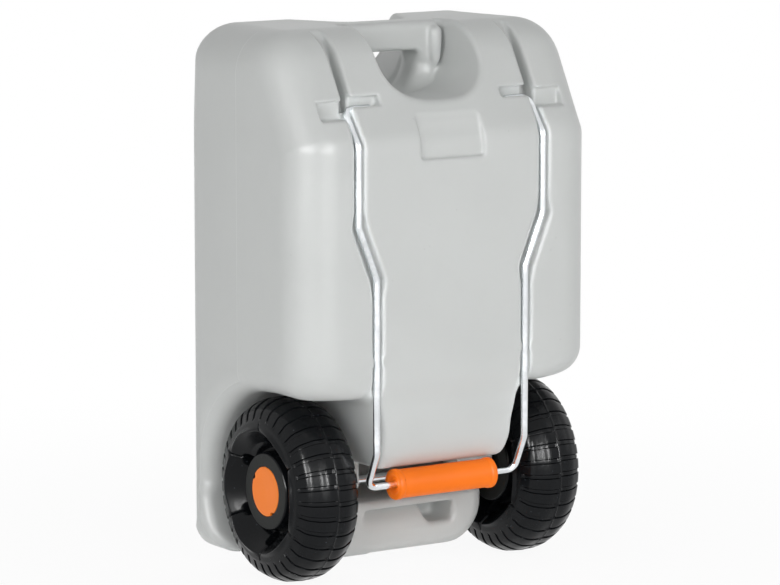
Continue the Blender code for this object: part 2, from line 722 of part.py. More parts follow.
def arm_groove(name, side, grow):
    """Round-bottomed groove down the rear face, along the wire."""
    y = ARM_Y + WIRE_RADIUS + GROOVE_CLEARANCE - GROOVE_RADIUS
    wide, narrow = side * ARM_HALF_SPAN, side * NARROW_HALF_SPAN
    points = [(wide, y, ELBOW_Z + 0.006), (wide, y, UPPER_JOG_Z),
              (narrow, y, LOWER_JOG_Z), (narrow, y, SHOULDER_UNDERSIDE - OUTSIDE)]
    return tube(name, round_path(points, WIRE_BEND_RADIUS, 2), GROOVE_RADIUS + grow, 10)


def snap_bumps(side):
    """Two small bumps that hold the folded wire in its groove."""
    bumps = []
    for edge in (-1, 1):
        bm = bmesh.new()
        bmesh.ops.create_icosphere(bm, subdivisions=1, radius=SNAP_SIZE / 2)
        x = side * NARROW_HALF_SPAN + edge * (WIRE_RADIUS + SEAT_GAP + SNAP_SIZE / 2)
        bmesh.ops.scale(bm, vec=(1.0, 0.7, 2.0), verts=bm.verts)
        bmesh.ops.translate(bm, vec=(x, REAR_Y + 0.35 * SNAP_SIZE, SNAP_HEIGHT), verts=bm.verts)
        bumps.append(object_from_bmesh(f"snap_bump_{side}_{edge}", bm))
    return bumps


def plate_recess(name, grow):
    """Shallow recess that bends over the crease of the rear face."""
    floor = REAR_Y + PLATE_DEPTH + grow
    behind = REAR_Y - OUTSIDE
    bend_z = CREASE_CENTRE[1]
    plate_low, plate_high = CREASE_HEIGHT - PLATE_HEIGHT / 2, CREASE_HEIGHT + PLATE_HEIGHT / 2
    outline = [(behind, plate_low - grow), (REAR_Y, plate_low - grow),
               (floor, plate_low + PLATE_DEPTH), (floor, bend_z),
               (rear_face_y(plate_high - 0.006) + 0.7 * PLATE_DEPTH + grow, plate_high - 0.006),
               (rear_face_y(plate_high), plate_high + grow), (behind, plate_high + grow)]
    wide = PLATE_HALF_WIDTH + grow
    return prism_x(name, outline, -wide, wide)


def foot_recess(name, grow):
    """Grip recess in the foot's rear face, with a round lip and a drafted floor."""
    lip, draft = FOOT_RECESS_LIP, FOOT_RECESS_DRAFT
    floor = FOOT_REAR_Y + FOOT_RECESS_DEPTH
    stations = [(FOOT_REAR_Y - OUTSIDE, lip), (FOOT_REAR_Y, lip), (FOOT_REAR_Y + 0.3 * lip, 0.3 * lip),
                (FOOT_REAR_Y + lip, 0.0), (floor - draft, -0.5 * draft), (floor, -draft)]
    half_height = FOOT_RECESS_HEIGHT / 2
    middle = FOOT_TOP - FOOT_RECESS_DROP - half_height
    rings = []
    for y, flare in stations:
        wide = FOOT_RECESS_HALF_WIDTH + flare + grow
        high = half_height + min(flare, 0.0) / 2 + max(flare, 0.0) + grow
        corner = FOOT_RECESS_CORNER + min(flare, 0.0) / 2 + grow
        outline = rounded_rectangle((-wide, middle - high), (wide, middle + high), corner, 2)
        rings.append([(x, y + (grow if y > FOOT_REAR_Y else 0.0), z) for x, z in outline])
    return loft(name, rings)


# Necks and caps on the front face

def neck_radius(bore):
    return bore / 2 + NECK_WALL


def cap_radius(bore):
    return neck_radius(bore) + THREAD_GAP + CAP_SKIRT_WALL


NECK_TOP_Y = FRONT_Y - CAP_TOP_THICKNESS - GASKET_THICKNESS - 3 * SEAT_GAP
CAP_CEILING_Y = NECK_TOP_Y + GASKET_THICKNESS + 2 * SEAT_GAP
CAP_RIM_Y = CAP_CEILING_Y + CAP_TOP_THICKNESS - CAP_HEIGHT
CAP_RECESS_FLOOR_Y = CAP_RIM_Y - RECESS_FLOOR_GAP


def cap_recess(name, place, bore, steps):
    """Ring-shaped recess round a neck, with its mouth edge rounded."""
    wide = cap_radius(bore) + CAP_FINGER_GAP
    edge = 0.004
    profile = [(neck_radius(bore), CAP_RECESS_FLOOR_Y), (wide, CAP_RECESS_FLOOR_Y),
               (wide, FRONT_Y - edge), (wide + 0.3 * edge, FRONT_Y - 0.3 * edge),
               (wide + edge, FRONT_Y), (wide + edge, FRONT_Y + OUTSIDE),
               (bore / 4, FRONT_Y + OUTSIDE), (bore / 4, NECK_TOP_Y),
               (neck_radius(bore), NECK_TOP_Y)]
    return turned(name, profile, steps, (place[0], 0, place[1]), (0, 1, 0))


def cap_pocket(name, place, bore, steps):
    """The same recess as it bulges into the inside of the tank."""
    wide = cap_radius(bore) + CAP_FINGER_GAP + WALL
    return cylinder(name, wide, CAP_RECESS_FLOOR_Y - WALL, FRONT_Y + OUTSIDE, steps,
                    (place[0], 0, place[1]), (0, 1, 0))


def neck_bore(name, place, bore, steps):
    low = CAP_RECESS_FLOOR_Y - WALL - OUTSIDE / 2
    return cylinder(name, bore / 2, low, FRONT_Y + OUTSIDE, steps,
                    (place[0], 0, place[1]), (0, 1, 0))


CAPS = {"inlet": ((0.0, TANK_HEIGHT - INLET_DROP), INLET_BORE, 24, 28),
        "drain": ((SIDE_CAP_REACH, TANK_HEIGHT - SIDE_CAP_DROP), DRAIN_BORE, 14, 18),
        "vent": ((-SIDE_CAP_REACH, TANK_HEIGHT - SIDE_CAP_DROP), VENT_BORE, 10, 14)}


def screw_cap(name, place, bore, ribs, material):
    """Cup-shaped cap with a ribbed skirt, open toward the tank."""
    centre_x, centre_z = place
    outer = cap_radius(bore)
    inner = neck_radius(bore) + THREAD_GAP
    points = 2 * ribs

    def ring(y, radius, rib_depth=0.0):
        out = []
        for i in range(points):
            angle = 2 * math.pi * i / points
            reach = radius - (rib_depth if i % 2 else 0.0)
            out.append((centre_x + reach * math.cos(angle), y, centre_z + reach * math.sin(angle)))
        return out

    top_y = CAP_CEILING_Y + CAP_TOP_THICKNESS
    chamfer = 0.0015
    rings = [ring(CAP_CEILING_Y, inner), ring(CAP_RIM_Y, inner),
             ring(CAP_RIM_Y, outer, CAP_RIB_DEPTH), ring(top_y - chamfer, outer, CAP_RIB_DEPTH),
             ring(top_y, outer - chamfer - CAP_RIB_DEPTH)]
    cap = loft(name, rings, material)
    cap.data.transform(Matrix.Translation((-centre_x, 0, -centre_z)))
    cap.location = (centre_x, 0, centre_z)
    return cap


def gasket(name, place, bore, steps, material):
    """Flat ring between the neck and the underside of its cap."""
    inner = bore / 2 + 0.0003
    outer = inner + GASKET_WIDTH
    low = NECK_TOP_Y + SEAT_GAP
    high = low + GASKET_THICKNESS
    profile = [(inner, low), (outer, low), (outer, high), (inner, high)]
    ring = turned(name, profile, steps, (0, 0, 0), (0, 1, 0), material)
    ring.location = (place[0], 0, place[1])
    return ring


# The tank

def axle_lug(name, side):
    """Boss under and beside the centre block that carries the axle."""
    outline = arc((AXLE_Y, AXLE_Z), LUG_RADIUS, 180, 360, 8)
    top = BLOCK_UNDERSIDE + LUG_RISE
    outline += [(AXLE_Y + LUG_RADIUS, top), (AXLE_Y - LUG_RADIUS, top)]
    near, far = side * (LUG_FACE_X - LUG_THICKNESS), side * LUG_FACE_X
    return prism_x(name, outline, min(near, far), max(near, far))


def tank_body(material):
    """Hollow moulding: the outer skin with its recesses, less the inner form."""
    tank = tank_form("tank_body", 0.0, 6, 4, material)
    cut(tank, wheel_space("wheel_space", 0.0, 4))
    cut(tank, rear_scoop("rear_scoop", 0.0), front_scoop("front_scoop", 0.0),
        bar_trim("bar_trim", 0.0), window("finger_window", 0.0))
    add(tank, bar_post("left_post", -1), bar_post("right_post", 1))
    for side, word in ((-1, "left"), (1, "right")):
        cut(tank, arm_slot(word + "_arm_slot", side, 0.0), arm_groove(word + "_groove", side, 0.0))
        cut(tank, *cross_slots(word + "_cross_slot", side, 0.0))
        add(tank, *snap_bumps(side))
        add(tank, axle_lug(word + "_axle_lug", side))
    bore = AXLE_RADIUS + AXLE_RUNNING_GAP
    cut(tank, cylinder("axle_bore", bore, -HUB_INNER_X, HUB_INNER_X, 12,
                       (0, AXLE_Y, AXLE_Z), (1, 0, 0)))
    cut(tank, plate_recess("plate_recess", 0.0), foot_recess("foot_recess", 0.0))
    inside = tank_form("inside", WALL, 4, 2)
    cut(inside, wheel_space("inner_wheel_space", WALL, 3))
    cut(inside, rear_scoop("inner_rear_scoop", WALL), front_scoop("inner_front_scoop", WALL),
        bar_trim("inner_bar_trim", WALL), window("inner_window", WALL))
    for side, word in ((-1, "inner_left"), (1, "inner_right")):
        cut(inside, arm_slot(word + "_arm_slot", side, WALL),
            arm_groove(word + "_groove", side, WALL))
        cut(inside, *cross_slots(word + "_cross_slot", side, WALL))
    cut(inside, plate_recess("inner_plate_recess", WALL), foot_recess("inner_foot_recess", WALL))
    for word, (place, neck, _, steps) in CAPS.items():
        cut(tank, cap_recess(word + "_recess", place, neck, steps))
        cut(inside, cap_pocket(word + "_pocket", place, neck, steps))
        add(inside, neck_bore(word + "_bore", place, neck, steps))
    cut(tank, inside)
    return tank


# Wheels, axle and the small parts on it

def wheel(name, side, material):
    """Hollow ribbed wheel, dished on both sides, turned about the axle line."""
    half = WHEEL_WIDTH / 2
    tread = [(-half + 0.001, WHEEL_RADIUS - 0.028), (-0.77 * half, WHEEL_RADIUS - 0.0105),
             (-0.32 * half, WHEEL_RADIUS), (0.32 * half, WHEEL_RADIUS),
             (0.77 * half, WHEEL_RADIUS - 0.0105), (half - 0.001, WHEEL_RADIUS - 0.028)]
    hub = HUB_WIDTH / 2
    web = hub - DISH_DEPTH
    bulge = 0.004
    dish = [(half - 0.0025, DISH_RADIUS + 0.003, 0.0), (half - 0.0075, DISH_RADIUS - 0.002, 0.0),
            (web + 0.009, BOSS_RADIUS + 0.013, bulge), (web, BOSS_RADIUS + 0.0035, 0.5 * bulge),
            (hub, BOSS_RADIUS, 0.0)]
    bm = bmesh.new()
    pitch = 2 * math.pi / TREAD_RIBS
    groove = pitch * TREAD_GROOVE_SHARE

    def point(x, radius, angle):
        return bm.verts.new((x, radius * math.sin(angle), radius * math.cos(angle)))

    tread_rings = []
    for index, (x, radius) in enumerate(tread):
        at_edge = index in (0, len(tread) - 1)
        depth = 0.0 if at_edge else TREAD_GROOVE_DEPTH
        ring = []
        for rib in range(TREAD_RIBS):
            start = (rib + 0.5) * pitch
            ring.append(point(x, radius, start))
            ring.append(point(x, radius, start + pitch - groove))
            ring.append(point(x, radius - depth, start + pitch - groove / 2))
        tread_rings.append(ring)
    for near, far in zip(tread_rings, tread_rings[1:]):
        for i in range(len(near)):
            j = (i + 1) % len(near)
            bm.faces.new((near[i], near[j], far[j], far[i]))
    for face_side, edge_ring in ((-1, tread_rings[0]), (1, tread_rings[-1])):
        rings = []
        for x, radius, swell in dish:
            ring = []
            for rib in range(TREAD_RIBS):
                share = abs(math.sin(0.5 * DISH_HOLES * (rib + 0.5) * pitch))
                ring.append(point(face_side * (x + swell * share), radius, (rib + 0.5) * pitch))
            rings.append(ring)
        for rib in range(TREAD_RIBS):
            after = (rib + 1) % TREAD_RIBS
            outer = [edge_ring[3 * rib + k] for k in range(3)] + [edge_ring[3 * after]]
            bm.faces.new((*outer, rings[0][after], rings[0][rib]))
        for near, far in zip(rings, rings[1:]):
            for i in range(TREAD_RIBS):
                j = (i + 1) % TREAD_RIBS
                bm.faces.new((near[i], near[j], far[j], far[i]))
        bm.faces.new(rings[-1])
    body = object_from_bmesh(name, bm, material)
    inner = [(WHEEL_RADIUS - TREAD_GROOVE_DEPTH - WHEEL_WALL + 0.0015, 0.30 * half),
             (WHEEL_RADIUS - 0.0105 - WHEEL_WALL, 0.70 * half),
             (WHEEL_RADIUS - 0.028, half - 0.0045), (DISH_RADIUS + 0.0035, half - 0.0075),
             (DISH_RADIUS - 0.005, 0.5 * half)]
    profile = inner + [(radius, -along) for radius, along in reversed(inner)]
    centre = (0, 0, 0)
    tools = [turned(name + "_hollow", profile, 16, centre, (1, 0, 0))]
    blow_radius = DISH_RADIUS + 0.007
    tools.append(cylinder(name + "_blow_hole", 0.0025, half - 0.011, half + 0.004, 8,
                          (0, 0, -blow_radius), (-side, 0, 0)))
    tools.append(cylinder(name + "_axle_bore", AXLE_RADIUS + AXLE_RUNNING_GAP, -half, half, 12,
                          centre, (1, 0, 0)))
    tools.append(cylinder(name + "_counterbore", HUB_CAP_RADIUS + SEAT_GAP,
                          hub - COUNTERBORE_DEPTH, half, 24, centre, (side, 0, 0)))
    for face_side in (-1, 1):
        for hole in range(DISH_HOLES):
            angle = 2 * math.pi * hole / DISH_HOLES
            middle = BOSS_RADIUS + DISH_HOLE_RADIUS + 0.0016
            place = (0, middle * math.sin(angle), middle * math.cos(angle))
            tools.append(cylinder(f"{name}_dish_hole_{face_side}_{hole}", DISH_HOLE_RADIUS,
                                  web - 0.004, half, 6, place, (face_side, 0, 0)))
    for tool in tools:
        tool.parent = body
    cut(body, *tools)
    body.location = (side * WHEEL_MID_X, AXLE_Y, AXLE_Z)
    return body


def hub_cap(name, side, material):
    """Flat disc pressed into the boss, with two notches in its edge."""
    bm = bmesh.new()
    steps = 24
    notches = (4, 14)
    outer_x = HUB_OUTER_X + SEAT_GAP
    loops = []
    for x, inset in ((outer_x - HUB_CAP_THICKNESS, 0.0), (outer_x - 0.0006, 0.0), (outer_x, 0.0006)):
        loop = []
        for i in range(steps):
            angle = 2 * math.pi * i / steps
            radius = HUB_CAP_RADIUS - inset - (0.0022 if i in notches else 0.0)
            loop.append(bm.verts.new((side * x, radius * math.sin(angle), radius * math.cos(angle))))
        loops.append(loop)
    for near, far in zip(loops, loops[1:]):
        for i in range(steps):
            j = (i + 1) % steps
            bm.faces.new((near[i], near[j], far[j], far[i]))
    bm.faces.new(loops[0])
    bm.faces.new(loops[-1])
    cap = object_from_bmesh(name, bm, material)
    cap.location = (0, AXLE_Y, AXLE_Z)
    return cap


def washer(name, side, near_x, radius, dish, material):
    """Washer on the axle; dish bends its rim outward, as on a push-on washer."""
    inner = AXLE_RADIUS + AXLE_RUNNING_GAP
    profile = [(inner, 0.0), (radius, dish), (radius, dish + WASHER_THICKNESS),
               (inner, WASHER_THICKNESS)]
    place = (side * near_x, AXLE_Y, AXLE_Z)
    return turned(name, profile, 12, place, (side, 0, 0), material)


def axle(material):
    rod = cylinder("axle", AXLE_RADIUS, -AXLE_END_X, AXLE_END_X, 16, (0, 0, 0), (1, 0, 0), material)
    rod.location = (0, AXLE_Y, AXLE_Z)
    return rod


# Pull handle and its grip

def pull_handle(material):
    """Bent wire: two pins, two jogged arms and the crossbar."""
    half = [(ARM_HALF_SPAN - PIN_LENGTH, PIVOT_Y, PIVOT_Z), (ARM_HALF_SPAN, PIVOT_Y, PIVOT_Z),
            (ARM_HALF_SPAN, ARM_Y, ELBOW_Z), (ARM_HALF_SPAN, ARM_Y, UPPER_JOG_Z),
            (NARROW_HALF_SPAN, ARM_Y, LOWER_JOG_Z), (NARROW_HALF_SPAN, ARM_Y, KNEE_Z),
            (NARROW_HALF_SPAN, CROSSBAR_Y, CROSSBAR_Z)]
    points = half + [(-x, y, z) for x, y, z in reversed(half)]
    path = round_path(points, WIRE_BEND_RADIUS, 2)
    pivot = Vector((0, PIVOT_Y, PIVOT_Z))
    handle = tube("pull_handle", [point - pivot for point in path], WIRE_RADIUS, 8, material)
    handle.location = pivot
    return handle


def handle_grip(material):
    """Turned sleeve with a rim and a recessed face at each end."""
    bore = WIRE_RADIUS + GRIP_RUNNING_GAP
    radius = GRIP_DIAMETER / 2
    barrel = radius - GRIP_RIM_HEIGHT
    end = GRIP_LENGTH / 2
    edge = 0.0015
    recess = 0.003
    half = [(bore, end - recess), (0.70 * radius, end - recess), (0.74 * radius, end),
            (radius - edge, end), (radius, end - edge), (radius, end - GRIP_RIM_WIDTH),
            (barrel, end - GRIP_RIM_WIDTH - GRIP_RIM_HEIGHT)]
    profile = half + [(r, -along) for r, along in reversed(half)]
    grip = turned("handle_grip", profile, 16, (0, 0, 0), (1, 0, 0), material)
    grip.location = (0, CROSSBAR_Y, CROSSBAR_Z)
    return grip


def main():
    clear_scene()
    tank_plastic = make_material("tank_plastic", (0.56, 0.575, 0.57), 0.42)
    wheel_plastic = make_material("wheel_plastic", (0.020, 0.022, 0.025), 0.38)
    orange_plastic = make_material("orange_plastic", (0.95, 0.22, 0.03), 0.45)
    black_plastic = make_material("black_plastic", (0.018, 0.019, 0.021), 0.50)
    zinc_steel = make_material("zinc_steel", (0.62, 0.64, 0.66), 0.28, 1.0)
    seal_rubber = make_material("seal_rubber", (0.03, 0.03, 0.03), 0.80)
    tank_body(tank_plastic)
    pull_handle(zinc_steel)
    handle_grip(orange_plastic)
    axle(zinc_steel)
    for side, word in ((-1, "left"), (1, "right")):
        wheel(word + "_wheel", side, wheel_plastic)
        hub_cap(word + "_hub_cap", side, orange_plastic)
        washer(word + "_spacer_washer", side, LUG_FACE_X + SEAT_GAP, WASHER_RADIUS, 0.0, zinc_steel)
        washer(word + "_outer_washer", side, OUTER_WASHER_X, WASHER_RADIUS, 0.0, zinc_steel)
        washer(word + "_push_washer", side, PUSH_WASHER_X, PUSH_WASHER_RADIUS, 0.0008, zinc_steel)
    for word, (place, bore, ribs, steps) in CAPS.items():
        screw_cap(word + "_cap", place, bore, ribs, black_plastic)
        gasket(word + "_gasket", place, bore, steps, seal_rubber)


main()
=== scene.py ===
"""Portable waste water tank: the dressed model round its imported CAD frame.

Laid out as an add-on and run as a script. Metres, +Z up, Z = 0 under the
wheels. -Y is the rear face with the pull handle, +Y the front with the caps.
"""

import json
import math

import bmesh
import bpy
import numpy as np
from bpy.props import FloatProperty, FloatVectorProperty, IntProperty, PointerProperty
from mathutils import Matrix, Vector

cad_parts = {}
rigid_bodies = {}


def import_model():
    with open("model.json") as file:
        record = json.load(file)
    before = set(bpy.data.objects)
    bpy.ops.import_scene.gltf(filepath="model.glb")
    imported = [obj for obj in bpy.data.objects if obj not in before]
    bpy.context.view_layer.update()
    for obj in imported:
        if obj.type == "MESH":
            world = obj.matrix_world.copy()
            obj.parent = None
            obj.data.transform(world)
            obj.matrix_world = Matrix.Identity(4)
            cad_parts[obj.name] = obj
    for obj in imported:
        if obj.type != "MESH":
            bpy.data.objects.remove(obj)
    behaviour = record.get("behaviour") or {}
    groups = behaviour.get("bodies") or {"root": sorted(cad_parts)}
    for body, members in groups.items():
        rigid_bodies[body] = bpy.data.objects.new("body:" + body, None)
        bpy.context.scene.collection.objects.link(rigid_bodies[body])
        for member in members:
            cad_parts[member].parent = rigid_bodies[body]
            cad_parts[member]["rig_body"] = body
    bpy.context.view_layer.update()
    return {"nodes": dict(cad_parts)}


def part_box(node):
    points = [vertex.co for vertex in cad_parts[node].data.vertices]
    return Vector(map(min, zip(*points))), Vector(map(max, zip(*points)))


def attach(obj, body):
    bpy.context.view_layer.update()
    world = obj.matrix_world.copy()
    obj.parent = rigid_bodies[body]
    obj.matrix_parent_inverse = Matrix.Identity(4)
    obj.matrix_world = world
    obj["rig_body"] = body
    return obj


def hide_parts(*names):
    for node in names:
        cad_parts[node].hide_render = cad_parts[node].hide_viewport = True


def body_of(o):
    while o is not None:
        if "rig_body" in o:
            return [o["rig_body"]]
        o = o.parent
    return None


bl_info = {
    "name": "Portable Waste Water Tank",
    "version": (1, 0, 0),
    "blender": (4, 5, 0),
    "location": "View3D > Sidebar > Waste Tank",
    "description": "Dresses a wheeled waste water tank round its packed CAD frame",
    "category": "Add Mesh",
}

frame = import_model()
TANK_LOW, TANK_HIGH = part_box("tank_body")
WHEEL_LOW, WHEEL_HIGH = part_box("right_wheel")
GRIP_LOW, GRIP_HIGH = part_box("handle_grip")
HUB_CAP_LOW, HUB_CAP_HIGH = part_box("right_hub_cap")
AXLE_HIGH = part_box("axle")[1]

# Outer form of the moulding
HALF_WIDTH = TANK_HIGH.x
REAR_Y, FRONT_Y = TANK_LOW.y, TANK_HIGH.y
BOTTOM_Z, TOP_Z = TANK_LOW.z, TANK_HIGH.z
SIDE_RADIUS = 0.050
TOP_SIDE_RADIUS = 0.057
TOP_CORNER_RADIUS = 0.044
TOP_FRONT_RADIUS = 0.040
TOP_FALL = 0.0012
TOP_REAR_RADIUS = 0.068
BOTTOM_SIDE_RADIUS = 0.036
BOTTOM_FRONT_RADIUS = 0.024
CREASE_HEIGHT = TOP_Z - 0.118
CREASE_RADIUS = 0.040
TOP_EDGE_Y = (-0.06, 0.09)
TOP_EDGE_Z = (TOP_Z - 0.13, TOP_Z - 0.01)
BOTTOM_EDGE_LEAD = (-0.010, 0.030)
BOTTOM_EDGE_Z = (BOTTOM_Z + 0.102, BOTTOM_Z + 0.032)
SLANT = math.radians(31.3)

# Wheel space, centre block and foot
AXLE_Y = (WHEEL_LOW.y + WHEEL_HIGH.y) / 2
AXLE_Z = (WHEEL_LOW.z + WHEEL_HIGH.z) / 2
WHEEL_MID_X = (WHEEL_LOW.x + WHEEL_HIGH.x) / 2
WHEEL_RADIUS = WHEEL_HIGH.z - AXLE_Z
WHEEL_HALF = (WHEEL_HIGH.x - WHEEL_LOW.x) / 2
ARCH_RADIUS = WHEEL_RADIUS + 0.0072
SHOULDER_Z = AXLE_Z + ARCH_RADIUS
BLOCK_TOP_HALF = 0.100
BLOCK_LOW_HALF = 0.083
BLOCK_Z = AXLE_Z + 0.0267
CHIN_START = BLOCK_Z + 0.0665
CHIN_DEPTH = 0.0235
CHIN_ROUND = 0.0045
BLOCK_EDGE = (0.004, 0.026)
BLOCK_EDGE_Z = (0.140, 0.185)
BLOCK_CORNER = (0.005, 0.026)
BLOCK_CORNER_Z = (0.135, 0.175)
BLOCK_COVE = 0.016
FOOT_HALF = 0.105
FOOT_REAR_Y = REAR_Y + 0.0885
FOOT_TOP = BOTTOM_Z + 0.0642
FOOT_CORNER = 0.050
FOOT_LEFT_CORNER = 0.0135
FOOT_EDGE = 0.018
SMALL_EDGE = 0.006
ARCH_EDGE = 0.0275
ROOF_EDGE = (0.020, 0.034)
ROOF_EDGE_X = (0.120, 0.165)
ROOF_EDGE_Y = (AXLE_Y + 0.01, AXLE_Y - 0.02)
ROOF_EDGE_Z = (AXLE_Z + 0.065, AXLE_Z + 0.095)
BLOCK_SIDE_X = (0.122, 0.110)
BLOCK_SIDE_Z = (AXLE_Z - 0.015, AXLE_Z + 0.005)
FOOT_SIDE_EDGE = 0.005
FOOT_SIDE_X = (0.108, 0.118)
FOOT_SIDE_Z = (FOOT_TOP + 0.0178, FOOT_TOP - 0.0072)

# Lugs that hold the axle, under the block
LUG_X = 0.0917
LUG_HALF = 0.025
LUG_RADIUS = 0.016
LUG_TOP = BLOCK_Z + 0.018
LUG_EDGE = 0.002
LUG_COVE = 0.004

# Grip recess in the foot's rear face, a full pocket at its right end only
RECESS_HALF = 0.060
RECESS_DEPTH = 0.040
RECESS_FLOOR = FOOT_TOP - 0.0335
RECESS_CEILING = FOOT_TOP - 0.0105
RECESS_RISE = 0.0225
RECESS_EDGE = (0.0070, 0.0020)
RECESS_EDGE_Z = (FOOT_TOP - 0.0202, FOOT_TOP - 0.0132)
POCKET_X = (0.030, 0.018)

# Seam left by the mould, on both sides
SEAM_Y = 0.005
SEAM_RADIUS = ARCH_RADIUS + 0.014
SEAM_LOW_Z = AXLE_Z + 0.122
SEAM_FADE = (0.0010, 0.0002)

# Wheels: radii in metres, groove places in shares of a rib's pitch
TREAD_START = (0.0800, 0.0835)
MOULD_RIB_SIDE = (0.0012, 0.0028)
GROOVE_DEPTH = 0.0012
GROOVE_SIDE = (0.166, 0.142)
GROOVE_STAGGER = 0.055
GROOVE_INWARD = (0.0860, 0.0960)
GROOVE_SIDEWAYS = (0.1030, 0.0860)
TRENCH_DEPTH = 0.0013
TRENCH_OUTER = (0.162, 0.146)
TRENCH_INNER = (0.110, 0.128)
GROOVE_SAMPLES = (0.0, 0.090, 0.112, 0.124, 0.140, 0.154, 0.170, 0.26, 0.42,
                  0.58, 0.74, 0.830, 0.846, 0.860, 0.876, 0.888, 0.910)
PETALS = 6
PETAL_SWELL = 0.0052
PETAL_INNER = (0.0470, 0.0520)
PETAL_OUTER = (0.0745, 0.0690)
CREASE_DEPTH = 0.0022
CREASE_WIDTH = 0.0010
CREASE_INNER = (0.0500, 0.0540)
CREASE_OUTER = (0.0800, 0.0740)
HOLE_PLACE = 0.0540
HOLE_SIDE = (0.0078, 0.0060)
HOLE_DEPTH = 0.0130
HOLE_INNER = (0.0445, 0.0462)
BOSS_RADIUS = 0.0440
BOSS_FACE = (0.026, 0.0428)
BOSS_FACE_X = 0.0300
DISC_NOTCHES = (math.radians(60), math.radians(210))
NOTCH_DEPTH = 0.0024
NOTCH_SIDE = (0.0034, 0.0022)
NOTCH_INNER = (0.020, 0.0255)
AXLE_BORE = 0.0054

# Pull handle
WIRE_RADIUS = 0.004
BEND_RADIUS = 0.011
PIVOT_Y = REAR_Y + 0.0335
PIVOT_Z = TOP_Z - 0.084
ARM_Y = REAR_Y + WIRE_RADIUS
ARM_HALF_SPAN = 0.1235
NARROW_HALF_SPAN = 0.0998
PIN_LENGTH = 0.034
ELBOW_Z = PIVOT_Z - 0.0384
UPPER_JOG_Z = PIVOT_Z - 0.1283
LOWER_JOG_Z = UPPER_JOG_Z - 0.0595
CROSSBAR_Y = (GRIP_LOW.y + GRIP_HIGH.y) / 2
CROSSBAR_Z = (GRIP_LOW.z + GRIP_HIGH.z) / 2
KNEE_Z = CROSSBAR_Z + 0.0409
STOP_ANGLE = math.radians(165)

# Slots and grooves that the wire swings and lies in
ARM_GAP = WIRE_RADIUS + 0.0015
RAISED_GAP = ARM_GAP + 0.011
SLOT_TOP = TOP_Z - 0.0012
SLOT_HALF = 0.00625
SLOT_EDGE = 0.0014
PIN_SLOT_X, PIN_SLOT_HALF = 0.1025, 0.0215
PIN_SLOT_Z, PIN_SLOT_RISE = PIVOT_Z + 0.0083, 0.0055
PIN_SLOT_FLOOR = PIVOT_Y + WIRE_RADIUS + 0.0007
PIN_BORE_X, PIN_BORE_HALF = 0.1045, 0.0205
PIN_BORE_RADIUS = 0.0047
SIDE_SLOT_X, SIDE_SLOT_HALF = 0.1425, 0.0195
SIDE_SLOT_RISE = 0.010
SIDE_SLOT_FLOOR = PIN_SLOT_FLOOR - 0.006
CROSS_SLOT_EDGE = 0.0016
GROOVE_Y = ARM_Y - 0.0015
GROOVE_RADIUS = 0.0070
JOG_GROOVE_RADIUS = 0.0098
GROOVE_EDGE = 0.0022
BUMP_OFFSET = 0.0080
BUMP_SIZE = (0.0030, 0.0030, 0.0075)
BUMP_Y = REAR_Y + 0.0022
BUMP_Z = SHOULDER_Z + 0.043

# Shallow plate recess on the rear crease
PLATE_HALF = 0.042
PLATE_RISE = 0.024
PLATE_DEPTH = 0.0012
PLATE_EXTRA_DEPTH = 0.0044

# Carry handle at the top: scoops, bar, passage and posts
SCOOP_Z = TOP_Z - 0.025
SCOOP_HALF = 0.0675
SCOOP_DEPTH = 0.054
SCOOP_POWER = 2.6
SCOOP_CORNER = 0.014
SCOOP_EDGE = (0.0050, 0.0095)
SCOOP_RECESS = 0.016
SCOOP_RECESS_START = (0.0400, 0.0585)
SCOOP_RECESS_END = SCOOP_HALF - 0.002
SCOOP_RECESS_Z = (TOP_Z - 0.0782, TOP_Z - 0.0312)
FRONT_SCOOP_HALF = 0.078
FRONT_SCOOP_DEPTH = 0.046
FRONT_SCOOP_RUN = 0.095
FRONT_SCOOP_CORNER = 0.012
FRONT_SCOOP_EDGE = 0.007
BAR_Y = REAR_Y + 0.1425
BAR_HALF = 0.019
BAR_EDGE_Y = (BAR_Y - 0.044, BAR_Y - 0.027)
BAR_EDGE_Z = (TOP_Z - 0.0282, TOP_Z - 0.0182)
WINDOW_TOP = TOP_Z - 0.0335
WINDOW_DEPTH = 0.055
WINDOW_HALF = 0.0365
WINDOW_POWER = 2.5
WINDOW_EDGE = (0.0160, 0.0050)
WINDOW_EDGE_Z = (TOP_Z - 0.0512, TOP_Z - 0.0332)
POST_X = 0.0552
POST_Y = BAR_Y - BAR_HALF - 0.0020
POST_Z = (WINDOW_TOP - 0.022, TOP_Z - 0.014)
POST_RADIUS = 0.0078
POST_LEAST = 0.35
POST_TAPER_Z = (TOP_Z - 0.0712, TOP_Z - 0.0232)

# How far beyond a cut or a raised form its rounded edge may reach
ROOM = 0.020

# Screw caps on the front face: middle (x, z), bore and count of grip ribs
NECK_TOP_Y = FRONT_Y - 0.0069
CAP_RIM_Y = FRONT_Y - 0.0173
RECESS_Y = CAP_RIM_Y - 0.001
CAPS = {"inlet": ((0.0, TOP_Z - 0.2302), 0.084, 48),
        "drain": ((0.110, TOP_Z - 0.1262), 0.036, 28),
        "vent": ((-0.110, TOP_Z - 0.1262), 0.018, 20)}
NECK_WALL = 0.005
SKIRT_WALL = 0.0048
SKIRT_GAP = 0.0008
FINGER_ROOM = 0.013
WELL_DEPTH = 0.065
CAP_RIB_DEPTH = 0.0011
SEAL_WIDTH = 0.0045

